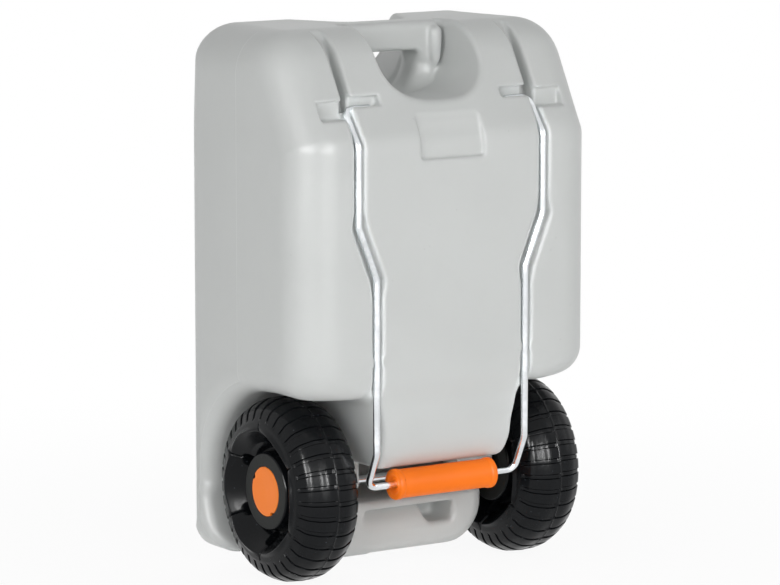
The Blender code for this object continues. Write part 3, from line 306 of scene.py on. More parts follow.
# Studio
FLOOR_HALF = 6.0
CAMERA_PLACE = (-2.6040, -3.9926, 1.0473)
CAMERA_AIM = (0.0355, 0.0508, 0.3028)
CAMERA_LENS = 194.64
LEFT_LIGHT = (-2.36, -1.54, 1.10)
RIGHT_LIGHT = (-0.20, -2.85, 1.05)
FILL_LIGHT = (2.4, -1.6, 1.5)
BACK_LIGHT = (2.2, 2.4, 1.3)
LIGHT_AIM = (0, 0, 0.25)
SIDE_LIGHT_AIM = (0, 0, 0.3)

SIDES = ((-1, "left"), (1, "right"))

# Plastic finishes. Flecks: scale, amount, stretch, shade and dent. Wear: where
# rubbing starts and ends on an edge, its strength and its shade.
# Seam: shade of the painted highlight along the raised parting seam.
FINISHES = {
    "tank_moulding": {
        "roughness": 0.36, "gloss": 0.05, "tone": 0.012, "bump": 0.0004, "wave": 0.8,
        "specular": 0.1, "flecks": (140.0, 0.02, 1.0, 0.93, 0.0),
        "wear": (0.54, 0.62, 0.5, 1.06), "seam_painted_highlight": 1.12},
    "wheel_plastic_satin": {
        "roughness": 0.18, "gloss": 0.03, "tone": 0.10, "bump": 0.0002, "wave": 0.4,
        "specular": 0.14, "flecks": (170.0, 0.05, 1.0, 6.0, 0.0), "wear": (0.56, 0.66, 0.5, 6.0)},
    "wheel_boss_matt": {
        "roughness": 0.58, "gloss": 0.05, "tone": 0.05, "bump": 0.0003, "wave": 0.4,
        "specular": 0.1, "flecks": (200.0, 0.04, 1.0, 1.9, 0.0)},
    "orange_moulded_plastic": {
        "roughness": 0.44, "gloss": 0.05, "tone": 0.03, "bump": 0.0003, "wave": 0.5,
        "specular": 0.1, "flecks": (150.0, 0.035, 0.6, 0.45, -0.6),
        "wear": (0.56, 0.66, 0.4, 1.15)},
    # Hub disc: the grip's orange made brighter, as painted light for the dim side face it sits on.
    "orange_hub_disc": {
        "roughness": 0.40, "gloss": 0.05, "tone": 0.02, "bump": 0.0002, "wave": 0.4,
        "specular": 0.3, "flecks": (150.0, 0.03, 0.6, 0.6, 0.0), "wear": (0.56, 0.66, 0.4, 1.1)},
    "black_moulded_plastic": {
        "roughness": 0.46, "gloss": 0.06, "tone": 0.08, "bump": 0.0003, "wave": 0.4,
        "specular": 0.2, "flecks": (160.0, 0.04, 1.0, 2.5, 0.0), "wear": (0.55, 0.66, 0.7, 3.0)},
    "seal_rubber_matt": {
        "roughness": 0.75, "gloss": 0.06, "tone": 0.12, "bump": 0.0002, "wave": 0.3,
        "specular": 0.5, "flecks": (240.0, 0.05, 1.0, 1.0, 0.0),
        "fleck_colour": (0.06, 0.06, 0.06)},
}


# Distance fields: negative inside, in metres

def meet(a, b, radius):
    """What is inside both, with a round outer edge."""
    return (np.minimum(-radius, np.maximum(a, b))
            + np.hypot(np.maximum(a + radius, 0), np.maximum(b + radius, 0)))


def join(a, b, radius):
    """What is inside either, with a round inner corner."""
    return (np.maximum(radius, np.minimum(a, b))
            - np.hypot(np.maximum(radius - a, 0), np.maximum(radius - b, 0)))


def carve(a, b, radius):
    """What is inside a and outside b, with a round outer edge."""
    return meet(a, -b, radius)


def ramp(value, start, end):
    """Smooth step from 0 at start to 1 at end, in either direction."""
    share = np.clip((value - start) / (end - start), 0, 1)
    return share * share * (3 - 2 * share)


def mix(a, b, share):
    """Blend from a to b."""
    return a + (b - a) * share


def polygon_field(u, v, outline):
    """Signed distance to a closed outline in the plane."""
    points = np.asarray(outline, dtype=np.float64)
    nearest = np.full(np.broadcast(u, v).shape, 1e9)
    inside = np.zeros(nearest.shape, dtype=bool)
    for (u0, v0), (u1, v1) in zip(points, np.roll(points, -1, axis=0)):
        run_u, run_v = u1 - u0, v1 - v0
        length = run_u ** 2 + run_v ** 2
        if length < 1e-16:
            continue
        share = np.clip(((u - u0) * run_u + (v - v0) * run_v) / length, 0, 1)
        nearest = np.minimum(nearest, np.hypot(u - u0 - share * run_u, v - v0 - share * run_v))
        if abs(run_v) > 1e-12:
            crosses = (v >= min(v0, v1)) & (v < max(v0, v1))
            inside ^= crosses & (u < u0 + (v - v0) * run_u / run_v)
    return np.where(inside, -nearest, nearest)


def path_field(u, v, path):
    """Distance to an open path in the plane."""
    nearest = np.full(np.broadcast(u, v).shape, 1e9)
    for (u0, v0), (u1, v1) in zip(path, path[1:]):
        run_u, run_v = u1 - u0, v1 - v0
        share = np.clip(((u - u0) * run_u + (v - v0) * run_v)
                        / (run_u ** 2 + run_v ** 2), 0, 1)
        nearest = np.minimum(nearest, np.hypot(u - u0 - share * run_u, v - v0 - share * run_v))
    return nearest


def bowl_field(u, v, half_u, half_v, power=2.0):
    """U shape: straight above v = 0, half a squarish oval below it."""
    across, down = np.abs(u) / half_u, np.abs(v) / half_v
    size = np.maximum((across ** power + down ** power) ** (1 / power), 1e-4)
    slope = np.maximum(np.hypot((across / size) ** (power - 1) / half_u,
                                (down / size) ** (power - 1) / half_v), 1e-4)
    return np.where(v > 0, np.abs(u) - half_u, (size - 1) / slope)


class Grid:
    """Regular grid of sample points, with sub-blocks for local edits."""

    def __init__(self, low, high, step):
        self.low = np.array(low)
        self.step = step
        counts = [int(math.ceil((b - a) / step)) + 1 for a, b in zip(low, high)]
        self.axes = [low[i] + step * np.arange(counts[i]) for i in range(3)]
        self.values = None

    def points(self):
        x, y, z = self.axes
        return (x[:, None, None].astype(np.float32), y[None, :, None].astype(np.float32),
                z[None, None, :].astype(np.float32))

    def edit(self, low, high, change):
        """values = change(values, x, y, z) inside the box from low to high."""
        spans = [slice(*np.searchsorted(axis, (a, b))) for axis, a, b in zip(self.axes, low, high)]
        x, y, z = (axis[span].astype(np.float32) for axis, span in zip(self.axes, spans))
        block = tuple(spans)
        self.values[block] = change(self.values[block], x[:, None, None], y[None, :, None],
                                    z[None, None, :])

    def mirror(self):
        """Add the other half, for a grid that starts at x = 0."""
        self.values = np.concatenate([self.values[:0:-1], self.values], axis=0)
        self.low[0] = -self.axes[0][-1]
        self.axes[0] = np.concatenate([-self.axes[0][:0:-1], self.axes[0]])


def surface_net(grid):
    """Points and quads of the zero surface, one point to each mixed cell."""
    field = grid.values
    inside = field < 0
    corners = [(i, j, k) for i in (0, 1) for j in (0, 1) for k in (0, 1)]
    nx, ny, nz = field.shape
    total = np.zeros((nx - 1, ny - 1, nz - 1), dtype=np.int8)
    for i, j, k in corners:
        total += inside[i:nx - 1 + i, j:ny - 1 + j, k:nz - 1 + k]
    cells = np.argwhere((total > 0) & (total < 8))
    index = np.full(total.shape, -1, dtype=np.int32)
    index[tuple(cells.T)] = np.arange(len(cells))
    values = np.stack([field[cells[:, 0] + i, cells[:, 1] + j, cells[:, 2] + k]
                       for i, j, k in corners], axis=1)
    places = np.zeros((len(cells), 3))
    crossings = np.zeros(len(cells))
    for a in range(8):
        for b in range(a + 1, 8):
            if sum(p != q for p, q in zip(corners[a], corners[b])) != 1:
                continue
            fa, fb = values[:, a], values[:, b]
            crossed = (fa < 0) != (fb < 0)
            share = np.where(crossed, fa / np.where(crossed, fa - fb, 1), 0)
            spot = np.array(corners[a]) + share[:, None] * (np.array(corners[b])
                                                            - np.array(corners[a]))
            places += spot * crossed[:, None]
            crossings += crossed
    points = grid.low + grid.step * (cells + places / crossings[:, None])
    quads = []
    for axis in range(3):
        one, two = (axis + 1) % 3, (axis + 2) % 3
        near = [slice(1, -1)] * 3
        far = [slice(1, -1)] * 3
        near[axis], far[axis] = slice(0, -1), slice(1, None)
        change = inside[tuple(near)] != inside[tuple(far)]
        edges = np.argwhere(change)
        edges[:, one] += 1
        edges[:, two] += 1
        outward = inside[tuple(edges.T)]

        def cell(back_one, back_two):
            spot = edges.copy()
            spot[:, one] -= back_one
            spot[:, two] -= back_two
            return index[tuple(spot.T)]

        ring = np.stack([cell(1, 1), cell(0, 1), cell(0, 0), cell(1, 0)], axis=1)
        ring[~outward] = ring[~outward][:, ::-1]
        quads.append(ring)
    return points, np.concatenate(quads)


def sample(grid, points):
    """Field and gradient at points, blended between grid samples."""
    spot = (points - grid.low) / grid.step
    base = np.clip(np.floor(spot).astype(int), 0, np.array(grid.values.shape) - 2)
    part = spot - base
    value = np.zeros(len(points))
    slope = np.zeros_like(points)
    for i in (0, 1):
        for j in (0, 1):
            for k in (0, 1):
                corner = grid.values[base[:, 0] + i, base[:, 1] + j, base[:, 2] + k]
                wx, wy, wz = (part[:, n] if on else 1 - part[:, n]
                              for n, on in enumerate((i, j, k)))
                value += corner * wx * wy * wz
                slope[:, 0] += corner * (2 * i - 1) * wy * wz
                slope[:, 1] += corner * (2 * j - 1) * wx * wz
                slope[:, 2] += corner * (2 * k - 1) * wx * wy
    return value, slope / grid.step


def relax(grid, points, quads, rounds):
    """Even out the points along the surface, and set them back on it."""
    starts = np.concatenate([quads[:, i] for i in range(4)])
    ends = np.concatenate([quads[:, (i + 1) % 4] for i in range(4)])
    counts = np.bincount(starts, minlength=len(points))
    for _ in range(rounds):
        mean = np.stack([np.bincount(starts, weights=points[ends, n], minlength=len(points))
                         for n in range(3)], axis=1) / counts[:, None]
        points = mix(points, mean, 0.6)
        value, slope = sample(grid, points)
        size = np.maximum((slope ** 2).sum(axis=1), 0.25)
        points = points - (value / size)[:, None] * slope
    return points


# Mesh helpers

def new_object(name, points, faces, materials, smooth_angle=None):
    """Link a mesh of points and faces, facing outward, smooth but for sharp edges."""
    mesh = bpy.data.meshes.new(name)
    mesh.from_pydata(np.asarray(points).tolist(), [], faces)
    mesh.validate()
    shell = bmesh.new()
    shell.from_mesh(mesh)
    if shell.calc_volume(signed=True) < 0:
        mesh.flip_normals()
    shell.free()
    obj = bpy.data.objects.new(name, mesh)
    bpy.context.scene.collection.objects.link(obj)
    for material in materials:
        mesh.materials.append(material)
    mesh.shade_smooth()
    if smooth_angle:
        mesh.set_sharp_from_angle(angle=math.radians(smooth_angle))
    return obj


def dress(piece, node, body):
    """Let the piece stand for a CAD node: hide the node and put the piece on its body."""
    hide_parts(node)
    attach(piece, body)


def body_of_node(node):
    """Name of the body that carries a CAD node."""
    found = body_of(frame["nodes"][node])
    if not found:
        raise RuntimeError(f"no body carries {node}")
    return found[0]


def fillet_path(corners, spacing, closed=False):
    """Points along straight runs whose corners are rounded: corners are (*place, radius)."""
    places = [np.array(corner[:-1], dtype=float) for corner in corners]
    radii = [corner[-1] for corner in corners]
    count = len(places)
    pieces = []
    for i in range(count):
        here = places[i]
        if (not closed and i in (0, count - 1)) or radii[i] <= 0:
            pieces.append([here])
            continue
        back = places[i - 1] - here
        ahead = places[(i + 1) % count] - here
        back_length, ahead_length = np.linalg.norm(back), np.linalg.norm(ahead)
        back, ahead = back / back_length, ahead / ahead_length
        turn = math.pi - math.acos(float(np.clip(back @ ahead, -1, 1)))
        if turn < 1e-3:
            pieces.append([here])
            continue
        radius = min(radii[i], 0.49 * min(back_length, ahead_length) / math.tan(turn / 2))
        middle = back + ahead
        middle /= np.linalg.norm(middle)
        centre = here + middle * radius / math.cos(turn / 2)
        first = here + back * radius * math.tan(turn / 2) - centre
        last = here + ahead * radius * math.tan(turn / 2) - centre
        steps = max(2, int(math.ceil(radius * turn / spacing)))
        arc = []
        for step in range(steps + 1):
            share = step / steps
            arc.append(centre + (math.sin((1 - share) * turn) * first
                                 + math.sin(share * turn) * last) / math.sin(turn))
        pieces.append(arc)
    path = []
    for i in range(count if closed else count - 1):
        path.extend(pieces[i])
        start, end = pieces[i][-1], pieces[(i + 1) % count][0]
        steps = int(math.ceil(np.linalg.norm(end - start) / spacing))
        path.extend(start + (end - start) * step / steps for step in range(1, steps))
    if not closed:
        path.extend(pieces[-1])
    clean = [path[0]]
    for point in path[1:]:
        if np.linalg.norm(point - clean[-1]) > 1e-6:
            clean.append(point)
    if closed and np.linalg.norm(clean[0] - clean[-1]) < 1e-6:
        clean.pop()
    return np.array(clean)


def band_faces(rows, columns, wrap_rows):
    """Quads between rows of points; columns always close round."""
    faces = []
    for i in range(rows if wrap_rows else rows - 1):
        near, far = i * columns, ((i + 1) % rows) * columns
        for j in range(columns):
            after = (j + 1) % columns
            faces.append((near + j, near + after, far + after, far + j))
    return faces


def turn(name, profile, angles, place, side, materials, shape=None, closed=True,
         smooth_angle=40, axis="x"):
    """Turn a profile of (along, radius) about an axis through place.

    side mirrors it along the axis. shape may change along, radius and angle
    of every point. An open profile starts and ends on the axis.
    """
    along, angle = np.meshgrid(profile[:, 0], angles, indexing="ij")
    radius = np.meshgrid(profile[:, 1], angles, indexing="ij")[0]
    if shape:
        along, radius, angle = shape(along, radius, angle)
    across, upward = radius * np.sin(angle), radius * np.cos(angle)
    if axis == "x":
        points = np.stack([side * along, across, upward], axis=-1)
        flip = side > 0
    else:
        points = np.stack([across, side * along, upward], axis=-1)
        flip = side < 0
    rows, columns = along.shape
    points = points.reshape(-1, 3)
    faces = band_faces(rows, columns, closed)
    if not closed:
        last = (rows - 1) * columns
        faces = faces[columns:-columns]
        for j in range(columns):
            after = (j + 1) % columns
            faces.append((0, columns + after, columns + j))
            faces.append((last, last - columns + j, last - columns + after))
    if flip:
        faces = [face[::-1] for face in faces]
    if not closed:
        used = [0, last] + list(range(columns, last))
        order = {old: new for new, old in enumerate(used)}
        points = points[used]
        faces = [tuple(order[i] for i in face) for face in faces]
    return new_object(name, points + np.array(place), faces, materials, smooth_angle)


def even_angles(count):
    """Angles of equal steps round a full turn."""
    return np.arange(count) * 2 * math.pi / count


def sweep(name, path, radius, sides, materials):
    """Round bar along a path, with rounded ends."""
    path = np.asarray(path)
    tangents = np.gradient(path, axis=0)
    tangents /= np.linalg.norm(tangents, axis=1)[:, None]
    normal = np.cross(tangents[0], (0.31, 0.59, 0.74))
    angles = even_angles(sides)
    rings = []
    for point, tangent in zip(path, tangents):
        normal = normal - tangent * (normal @ tangent)
        normal /= np.linalg.norm(normal)
        binormal = np.cross(tangent, normal)
        circle = np.cos(angles)[:, None] * normal + np.sin(angles)[:, None] * binormal
        rings.append((point, tangent, circle))
    ends = ((0.20, 0.55), (0.70, 0.85), (1.0, 1.0))
    spots = []
    point, tangent, circle = rings[0]
    for depth, share in ends:
        spots.append(point + tangent * radius * 0.5 * depth + circle * radius * share)
    for point, _, circle in rings[1:-1]:
        spots.append(point + circle * radius)
    point, tangent, circle = rings[-1]
    for depth, share in reversed(ends):
        spots.append(point - tangent * radius * 0.5 * depth + circle * radius * share)
    faces = band_faces(len(spots), sides, False)
    faces.append(tuple(reversed(range(sides))))
    faces.append(tuple(range((len(spots) - 1) * sides, len(spots) * sides)))
    faces = [face[::-1] for face in faces]
    return new_object(name, np.concatenate(spots), faces, materials, 50)


# The tank's moulding

def circle_arc(centre, radius, start, end, steps=14):
    """Points on an arc between two angles in degrees."""
    angles = np.radians(np.linspace(start, end, steps + 1))
    return [(centre[0] + radius * math.cos(a), centre[1] + radius * math.sin(a)) for a in angles]


def rear_curves():
    """(y, z) middles of the rounded crease and of the rounded rear top edge."""
    crease = (REAR_Y + CREASE_RADIUS, CREASE_HEIGHT - CREASE_RADIUS * math.tan(SLANT / 2))
    top_z = TOP_Z - TOP_REAR_RADIUS
    extra = TOP_REAR_RADIUS - CREASE_RADIUS
    rise = top_z - crease[1] + extra * math.sin(SLANT)
    return crease, (crease[0] + rise * math.tan(SLANT) + extra * math.cos(SLANT), top_z)


def rear_face_y(z):
    """Rear face at height z: upright, slanted, then round into the top."""
    (crease_y, crease_z), (top_y, top_z) = rear_curves()
    start_y = crease_y - CREASE_RADIUS * math.cos(SLANT)
    start_z = crease_z + CREASE_RADIUS * math.sin(SLANT)
    if z <= crease_z:
        return REAR_Y
    if z <= start_z:
        return crease_y - math.sqrt(CREASE_RADIUS ** 2 - (z - crease_z) ** 2)
    if z <= top_z + TOP_REAR_RADIUS * math.sin(SLANT):
        return start_y + (z - start_z) * math.tan(SLANT)
    return top_y - math.sqrt(max(TOP_REAR_RADIUS ** 2 - (z - top_z) ** 2, 0))


def chin_arc():
    """Radius and angle of the arc that draws the block's rear face in."""
    drop = CHIN_START - BLOCK_Z - CHIN_ROUND
    radius = (CHIN_DEPTH ** 2 + drop ** 2) / (2 * CHIN_DEPTH)
    return radius, math.asin(drop / radius)


def side_outline():
    """(y, z) outline of the moulding seen from the side, without its wheel space."""
    slant = math.degrees(SLANT)
    crease, top = rear_curves()
    chin_radius, chin_angle = chin_arc()
    chin = circle_arc((REAR_Y + chin_radius, CHIN_START), chin_radius, 180,
                      180 + math.degrees(chin_angle))
    end_y, end_z = chin[-1]
    low_z = FOOT_TOP + 0.02
    reach = (end_z - low_z) * math.tan(chin_angle)
    outline = circle_arc((FRONT_Y - BOTTOM_FRONT_RADIUS, BOTTOM_Z + BOTTOM_FRONT_RADIUS),
                         BOTTOM_FRONT_RADIUS, -90, 0)
    outline += circle_arc((FRONT_Y - TOP_FRONT_RADIUS, TOP_Z - TOP_FALL - TOP_FRONT_RADIUS),
                          TOP_FRONT_RADIUS, 0, 90)
    outline += circle_arc(top, TOP_REAR_RADIUS, 90, 180 - slant)
    outline += circle_arc(crease, CREASE_RADIUS, 180 - slant, 180)
    outline += chin
    outline += [(end_y + reach, low_z), (REAR_Y, low_z), (REAR_Y, BOTTOM_Z)]
    return outline


def side_field(y, z):
    """Distance to the side outline."""
    return polygon_field(y.astype(float), z.astype(float), side_outline())


def outer_form(x, y, z):
    """The moulding as one full block, with edges that change radius along their run."""
    top_radius = mix(TOP_CORNER_RADIUS, TOP_SIDE_RADIUS, ramp(y, *TOP_EDGE_Y))
    radius = mix(SIDE_RADIUS, top_radius, ramp(z, *TOP_EDGE_Z))
    lead = (FRONT_Y - y) - (z - BOTTOM_Z)
    at_bottom = ramp(lead, *BOTTOM_EDGE_LEAD) * ramp(z, *BOTTOM_EDGE_Z)
    radius = mix(radius, BOTTOM_SIDE_RADIUS, at_bottom)
    return meet(np.abs(x) - HALF_WIDTH, side_field(y, z).astype(np.float32), radius)


def block_edge(z):
    """Rounding of the centre block's corners where they meet the rear face."""
    return mix(*BLOCK_EDGE, ramp(z, *BLOCK_EDGE_Z))


def wheel_space(x, y, z):
    """Room round both wheels, less the centre block and the foot."""
    arch = np.hypot(y - AXLE_Y, z - AXLE_Z) - ARCH_RADIUS
    room = np.minimum(arch, np.maximum(y - AXLE_Y, z - SHOULDER_Z))
    taper = (BLOCK_TOP_HALF - BLOCK_LOW_HALF) / (SHOULDER_Z - BLOCK_Z)
    chin_radius = chin_arc()[0]
    drop = np.clip(CHIN_START - z, 0, CHIN_START - BLOCK_Z)
    setback = chin_radius - np.sqrt(chin_radius ** 2 - drop ** 2)
    start, end = BLOCK_CORNER_Z
    corner = mix(*BLOCK_CORNER, np.clip((z - start) / (end - start), 0, 1))
    corner = np.maximum(corner - block_edge(z), 0.002)
    block = meet(np.abs(x) - BLOCK_LOW_HALF - taper * (z - BLOCK_Z), REAR_Y + setback - y, corner)
    block = meet(block, BLOCK_Z - z, SMALL_EDGE)
    foot = meet(np.abs(x) - FOOT_HALF, BOTTOM_Z - z, FOOT_CORNER)
    foot = meet(foot, FOOT_REAR_Y - y, FOOT_EDGE)
    foot = meet(foot, z - FOOT_TOP, SMALL_EDGE)
    return carve(carve(room + 0 * x, block, BLOCK_COVE), foot, SMALL_EDGE)


def wheel_space_edge(x, y, z):
    """How round the moulding's edges are where the wheel space meets its faces."""
    across = np.abs(x)
    roof = ramp(z, *ROOF_EDGE_Z) * ramp(y, *ROOF_EDGE_Y)
    radius = mix(ARCH_EDGE, mix(*ROOF_EDGE, ramp(across, *ROOF_EDGE_X)), roof)
    at_block = ramp(across, *BLOCK_SIDE_X) * ramp(z, *BLOCK_SIDE_Z)
    radius = mix(radius, block_edge(z), at_block)
    foot = mix(FOOT_SIDE_EDGE, FOOT_LEFT_CORNER, ramp(across, *FOOT_SIDE_X))
    return mix(radius, foot, ramp(z, *FOOT_SIDE_Z))


def axle_lug(x, y, z):
    """U shape that hangs under the block and holds the axle."""
    below = np.where(z > AXLE_Z, np.abs(y - AXLE_Y), np.hypot(y - AXLE_Y, z - AXLE_Z)) - LUG_RADIUS
    lug = meet(below, np.abs(np.abs(x) - LUG_X) - LUG_HALF, LUG_EDGE)
    return meet(lug, z - LUG_TOP, LUG_EDGE)


def scoop_recess(across, z):
    """How far the rear scoop's back wall lies behind the bar's face."""
    start = mix(*SCOOP_RECESS_START, ramp(z, *SCOOP_RECESS_Z))
    return SCOOP_RECESS * ramp(across, start, SCOOP_RECESS_END)


def carve_handle_top(value, x, y, z):
    """Scoops from both faces, the bar between them and the passage under it."""
    below = z - SCOOP_Z
    back = BAR_Y - BAR_HALF + scoop_recess(np.abs(x), z)
    rear = meet(bowl_field(x, below, SCOOP_HALF, SCOOP_DEPTH, SCOOP_POWER), y - back, SCOOP_CORNER)
    at_bar = ramp(y, *BAR_EDGE_Y) * ramp(z, *BAR_EDGE_Z)
    value = carve(value, rear, mix(*SCOOP_EDGE, at_bar))
    flare = np.clip((y - BAR_Y - BAR_HALF) / FRONT_SCOOP_RUN, 0, 1)
    half = mix(WINDOW_HALF + 0.002, FRONT_SCOOP_HALF, flare)
    depth = mix(WINDOW_DEPTH, FRONT_SCOOP_DEPTH, flare)
    front = meet(bowl_field(x, below, half, depth, WINDOW_POWER), BAR_Y + BAR_HALF - y,
                 FRONT_SCOOP_CORNER)
    value = carve(value, front, FRONT_SCOOP_EDGE)
    passage = meet(bowl_field(x, below, WINDOW_HALF, WINDOW_DEPTH, WINDOW_POWER), z - WINDOW_TOP,
                   SMALL_EDGE)
    passage = meet(passage, np.abs(y - BAR_Y) - BAR_HALF - 0.006, 0.001)
    return carve(value, passage, mix(*WINDOW_EDGE, ramp(z, *WINDOW_EDGE_Z)))


def add_posts(value, x, y, z):
    """Rounded ridge at each end of the bar, fading out below it."""
    middle = POST_Y + scoop_recess(POST_X, z)
    away = np.sqrt((np.abs(x) - POST_X) ** 2 + (y - middle) ** 2 + (z - np.clip(z, *POST_Z)) ** 2)
    post = away - POST_RADIUS * mix(POST_LEAST, 1, ramp(z, *POST_TAPER_Z))
    return join(value, post, 0.003)


def arm_slot_outline():
    """(y, z) outline of the slot that a wire arm swings in."""
    def beside(start, end, gap):
        run = np.array(end) - np.array(start)
        run /= np.linalg.norm(run)
        forward = np.array((abs(run[1]), -run[0] * math.copysign(1, run[1])))
        return [tuple(np.array(point) + forward * gap) for point in (start, end)]

    reach_y, reach_z = ARM_Y - PIVOT_Y, ELBOW_Z - PIVOT_Z
    turn_cos, turn_sin = math.cos(STOP_ANGLE), math.sin(STOP_ANGLE)
    raised_end = (PIVOT_Y + reach_y * turn_cos + reach_z * turn_sin,
                  PIVOT_Z - reach_y * turn_sin + reach_z * turn_cos)
    folded = beside((ARM_Y, ELBOW_Z), (PIVOT_Y, PIVOT_Z), ARM_GAP)
    raised = beside((PIVOT_Y, PIVOT_Z), raised_end, RAISED_GAP)
    outside_y, outside_z = REAR_Y - 0.02, TOP_Z + 0.02
    outline = [(outside_y, folded[0][1]), *folded, *raised]
    deep_y, fade_start = raised[1]
    depth = deep_y - rear_face_y(fade_start)
    for share in np.linspace(0.1, 1.0, 10):
        z = mix(fade_start, SLOT_TOP, share)
        outline.append((rear_face_y(z) + depth * math.sqrt(1 - share ** 2), z))
    return outline + [(outline[-1][0], outside_z), (outside_y, outside_z)]


def carve_arm_slot(value, x, y, z):
    """Slot that each arm of the wire swings in."""
    side = polygon_field(y.astype(float), z.astype(float), arm_slot_outline())
    slot = meet(side, np.abs(np.abs(x) - ARM_HALF_SPAN) - SLOT_HALF, 0.002)
    return carve(value, slot, SLOT_EDGE)


def carve_cross_slots(value, x, y, z):
    """The pin's slot and bore toward the middle, and the other slot toward the side."""
    across = np.abs(x)
    inner = meet(np.abs(z - PIN_SLOT_Z) - PIN_SLOT_RISE, y - PIN_SLOT_FLOOR, 0.001)
    inner = meet(inner, np.abs(across - PIN_SLOT_X) - PIN_SLOT_HALF, 0.001)
    outer = meet(np.abs(z - PIVOT_Z) - SIDE_SLOT_RISE, y - SIDE_SLOT_FLOOR, 0.0015)
    outer = meet(outer, np.abs(across - SIDE_SLOT_X) - SIDE_SLOT_HALF, 0.0015)
    bore = meet(np.hypot(y - PIVOT_Y, z - PIVOT_Z) - PIN_BORE_RADIUS,
                np.abs(across - PIN_BORE_X) - PIN_BORE_HALF, 0.0005)
    value = carve(carve(value, inner, CROSS_SLOT_EDGE), outer, CROSS_SLOT_EDGE)
    return carve(value, bore, 0.0005)


def carve_arm_groove(value, x, y, z):
    """Groove that a folded arm lies in, wider at the jog."""
    points = [(ARM_HALF_SPAN, ELBOW_Z + 0.006, 0), (ARM_HALF_SPAN, UPPER_JOG_Z, BEND_RADIUS),
              (NARROW_HALF_SPAN, LOWER_JOG_Z, BEND_RADIUS),
              (NARROW_HALF_SPAN, SHOULDER_Z - 0.03, 0)]
    path = fillet_path(points, 0.004)
    runs = np.diff(path, axis=0)
    turned = np.abs(runs[:-1, 0] * runs[1:, 1] - runs[:-1, 1] * runs[1:, 0]) > 1e-9
    bends = path[1:-1][turned]
    flat = path_field(np.abs(x).astype(float), z.astype(float), [path[0], *bends, path[-1]])
    at_jog = ramp(z, UPPER_JOG_Z + 0.020, UPPER_JOG_Z) * ramp(z, LOWER_JOG_Z - 0.022, LOWER_JOG_Z)
    groove = np.hypot(flat, y - GROOVE_Y) - mix(GROOVE_RADIUS, JOG_GROOVE_RADIUS, at_jog)
    return carve(value, groove.astype(np.float32), GROOVE_EDGE)


def add_snap_bumps(value, x, y, z):
    """Small bumps on both sides of each groove, which hold the folded arm."""
    bumps = np.full(value.shape, 1.0, dtype=np.float32)
    for edge in (-1, 1):
        middle = (NARROW_HALF_SPAN + edge * BUMP_OFFSET, BUMP_Y, BUMP_Z)
        scaled = np.sqrt(sum(((place - at) / size) ** 2
                             for place, at, size in zip((np.abs(x), y, z), middle, BUMP_SIZE)))
        bumps = np.minimum(bumps, (scaled - 1) * 0.0034)
    return join(value, bumps, 0.001)


def carve_plate_recess(value, x, y, z):
    """Shallow oblong on the crease, deeper from there down."""
    plate = meet(np.abs(x) - PLATE_HALF, np.abs(z - CREASE_HEIGHT) - PLATE_RISE, 0.004)
    below = ramp(z, CREASE_HEIGHT + PLATE_RISE, CREASE_HEIGHT + 0.002)
    plate = meet(plate, -(side_field(y, z) + PLATE_DEPTH + PLATE_EXTRA_DEPTH * below), 0.0005)
    return carve(value, plate.astype(np.float32), 0.0012)


def carve_foot_recess(value, x, y, z):
    """Grip recess in the foot's rear face: a sloped floor with a pocket at its right end."""
    depth = np.clip((y - FOOT_REAR_Y) / RECESS_DEPTH, 0, 1)
    rise = RECESS_RISE * np.minimum(depth * 2.4, 1) ** 0.8 * ramp(x, *POCKET_X)
    recess = meet(np.abs(x) - RECESS_HALF + 0.004 * depth, RECESS_FLOOR + rise - z, 0.008)
    recess = meet(recess, z - RECESS_CEILING, 0.0015)
    recess = meet(recess, y - FOOT_REAR_Y - RECESS_DEPTH, 0.006)
    return carve(value, recess, mix(*RECESS_EDGE, ramp(z, *RECESS_EDGE_Z)))


def square_foot_left(value, x, y, z):
    """The foot's left end runs on level nearly to its side, unlike its right end."""
    end = meet(BOTTOM_Z - z, FOOT_REAR_Y - y, FOOT_EDGE)
    end = meet(end, -x - FOOT_HALF, FOOT_LEFT_CORNER)
    return np.minimum(value, np.maximum(end, z - BOTTOM_Z - FOOT_CORNER))


def carve_cap_seat(place, bore):
    """Recess, neck and bore of one screw cap."""
    def change(value, x, y, z):
        radius = np.hypot(x - place[0], z - place[1])
        neck = bore / 2 + NECK_WALL
        wide = neck + SKIRT_WALL + FINGER_ROOM
        recess = meet(radius - wide, RECESS_Y - y, 0.003)
        value = carve(value, recess, 0.004)
        neck_solid = meet(radius - neck, y - NECK_TOP_Y, 0.001)
        neck_solid = meet(neck_solid, RECESS_Y - 0.004 - y, 0.001)
        value = join(value, neck_solid, 0.002)
        well = meet(radius - bore / 2, RECESS_Y - WELL_DEPTH - y, min(0.02, bore / 3))
        return carve(value, well, 0.0008)
    return change


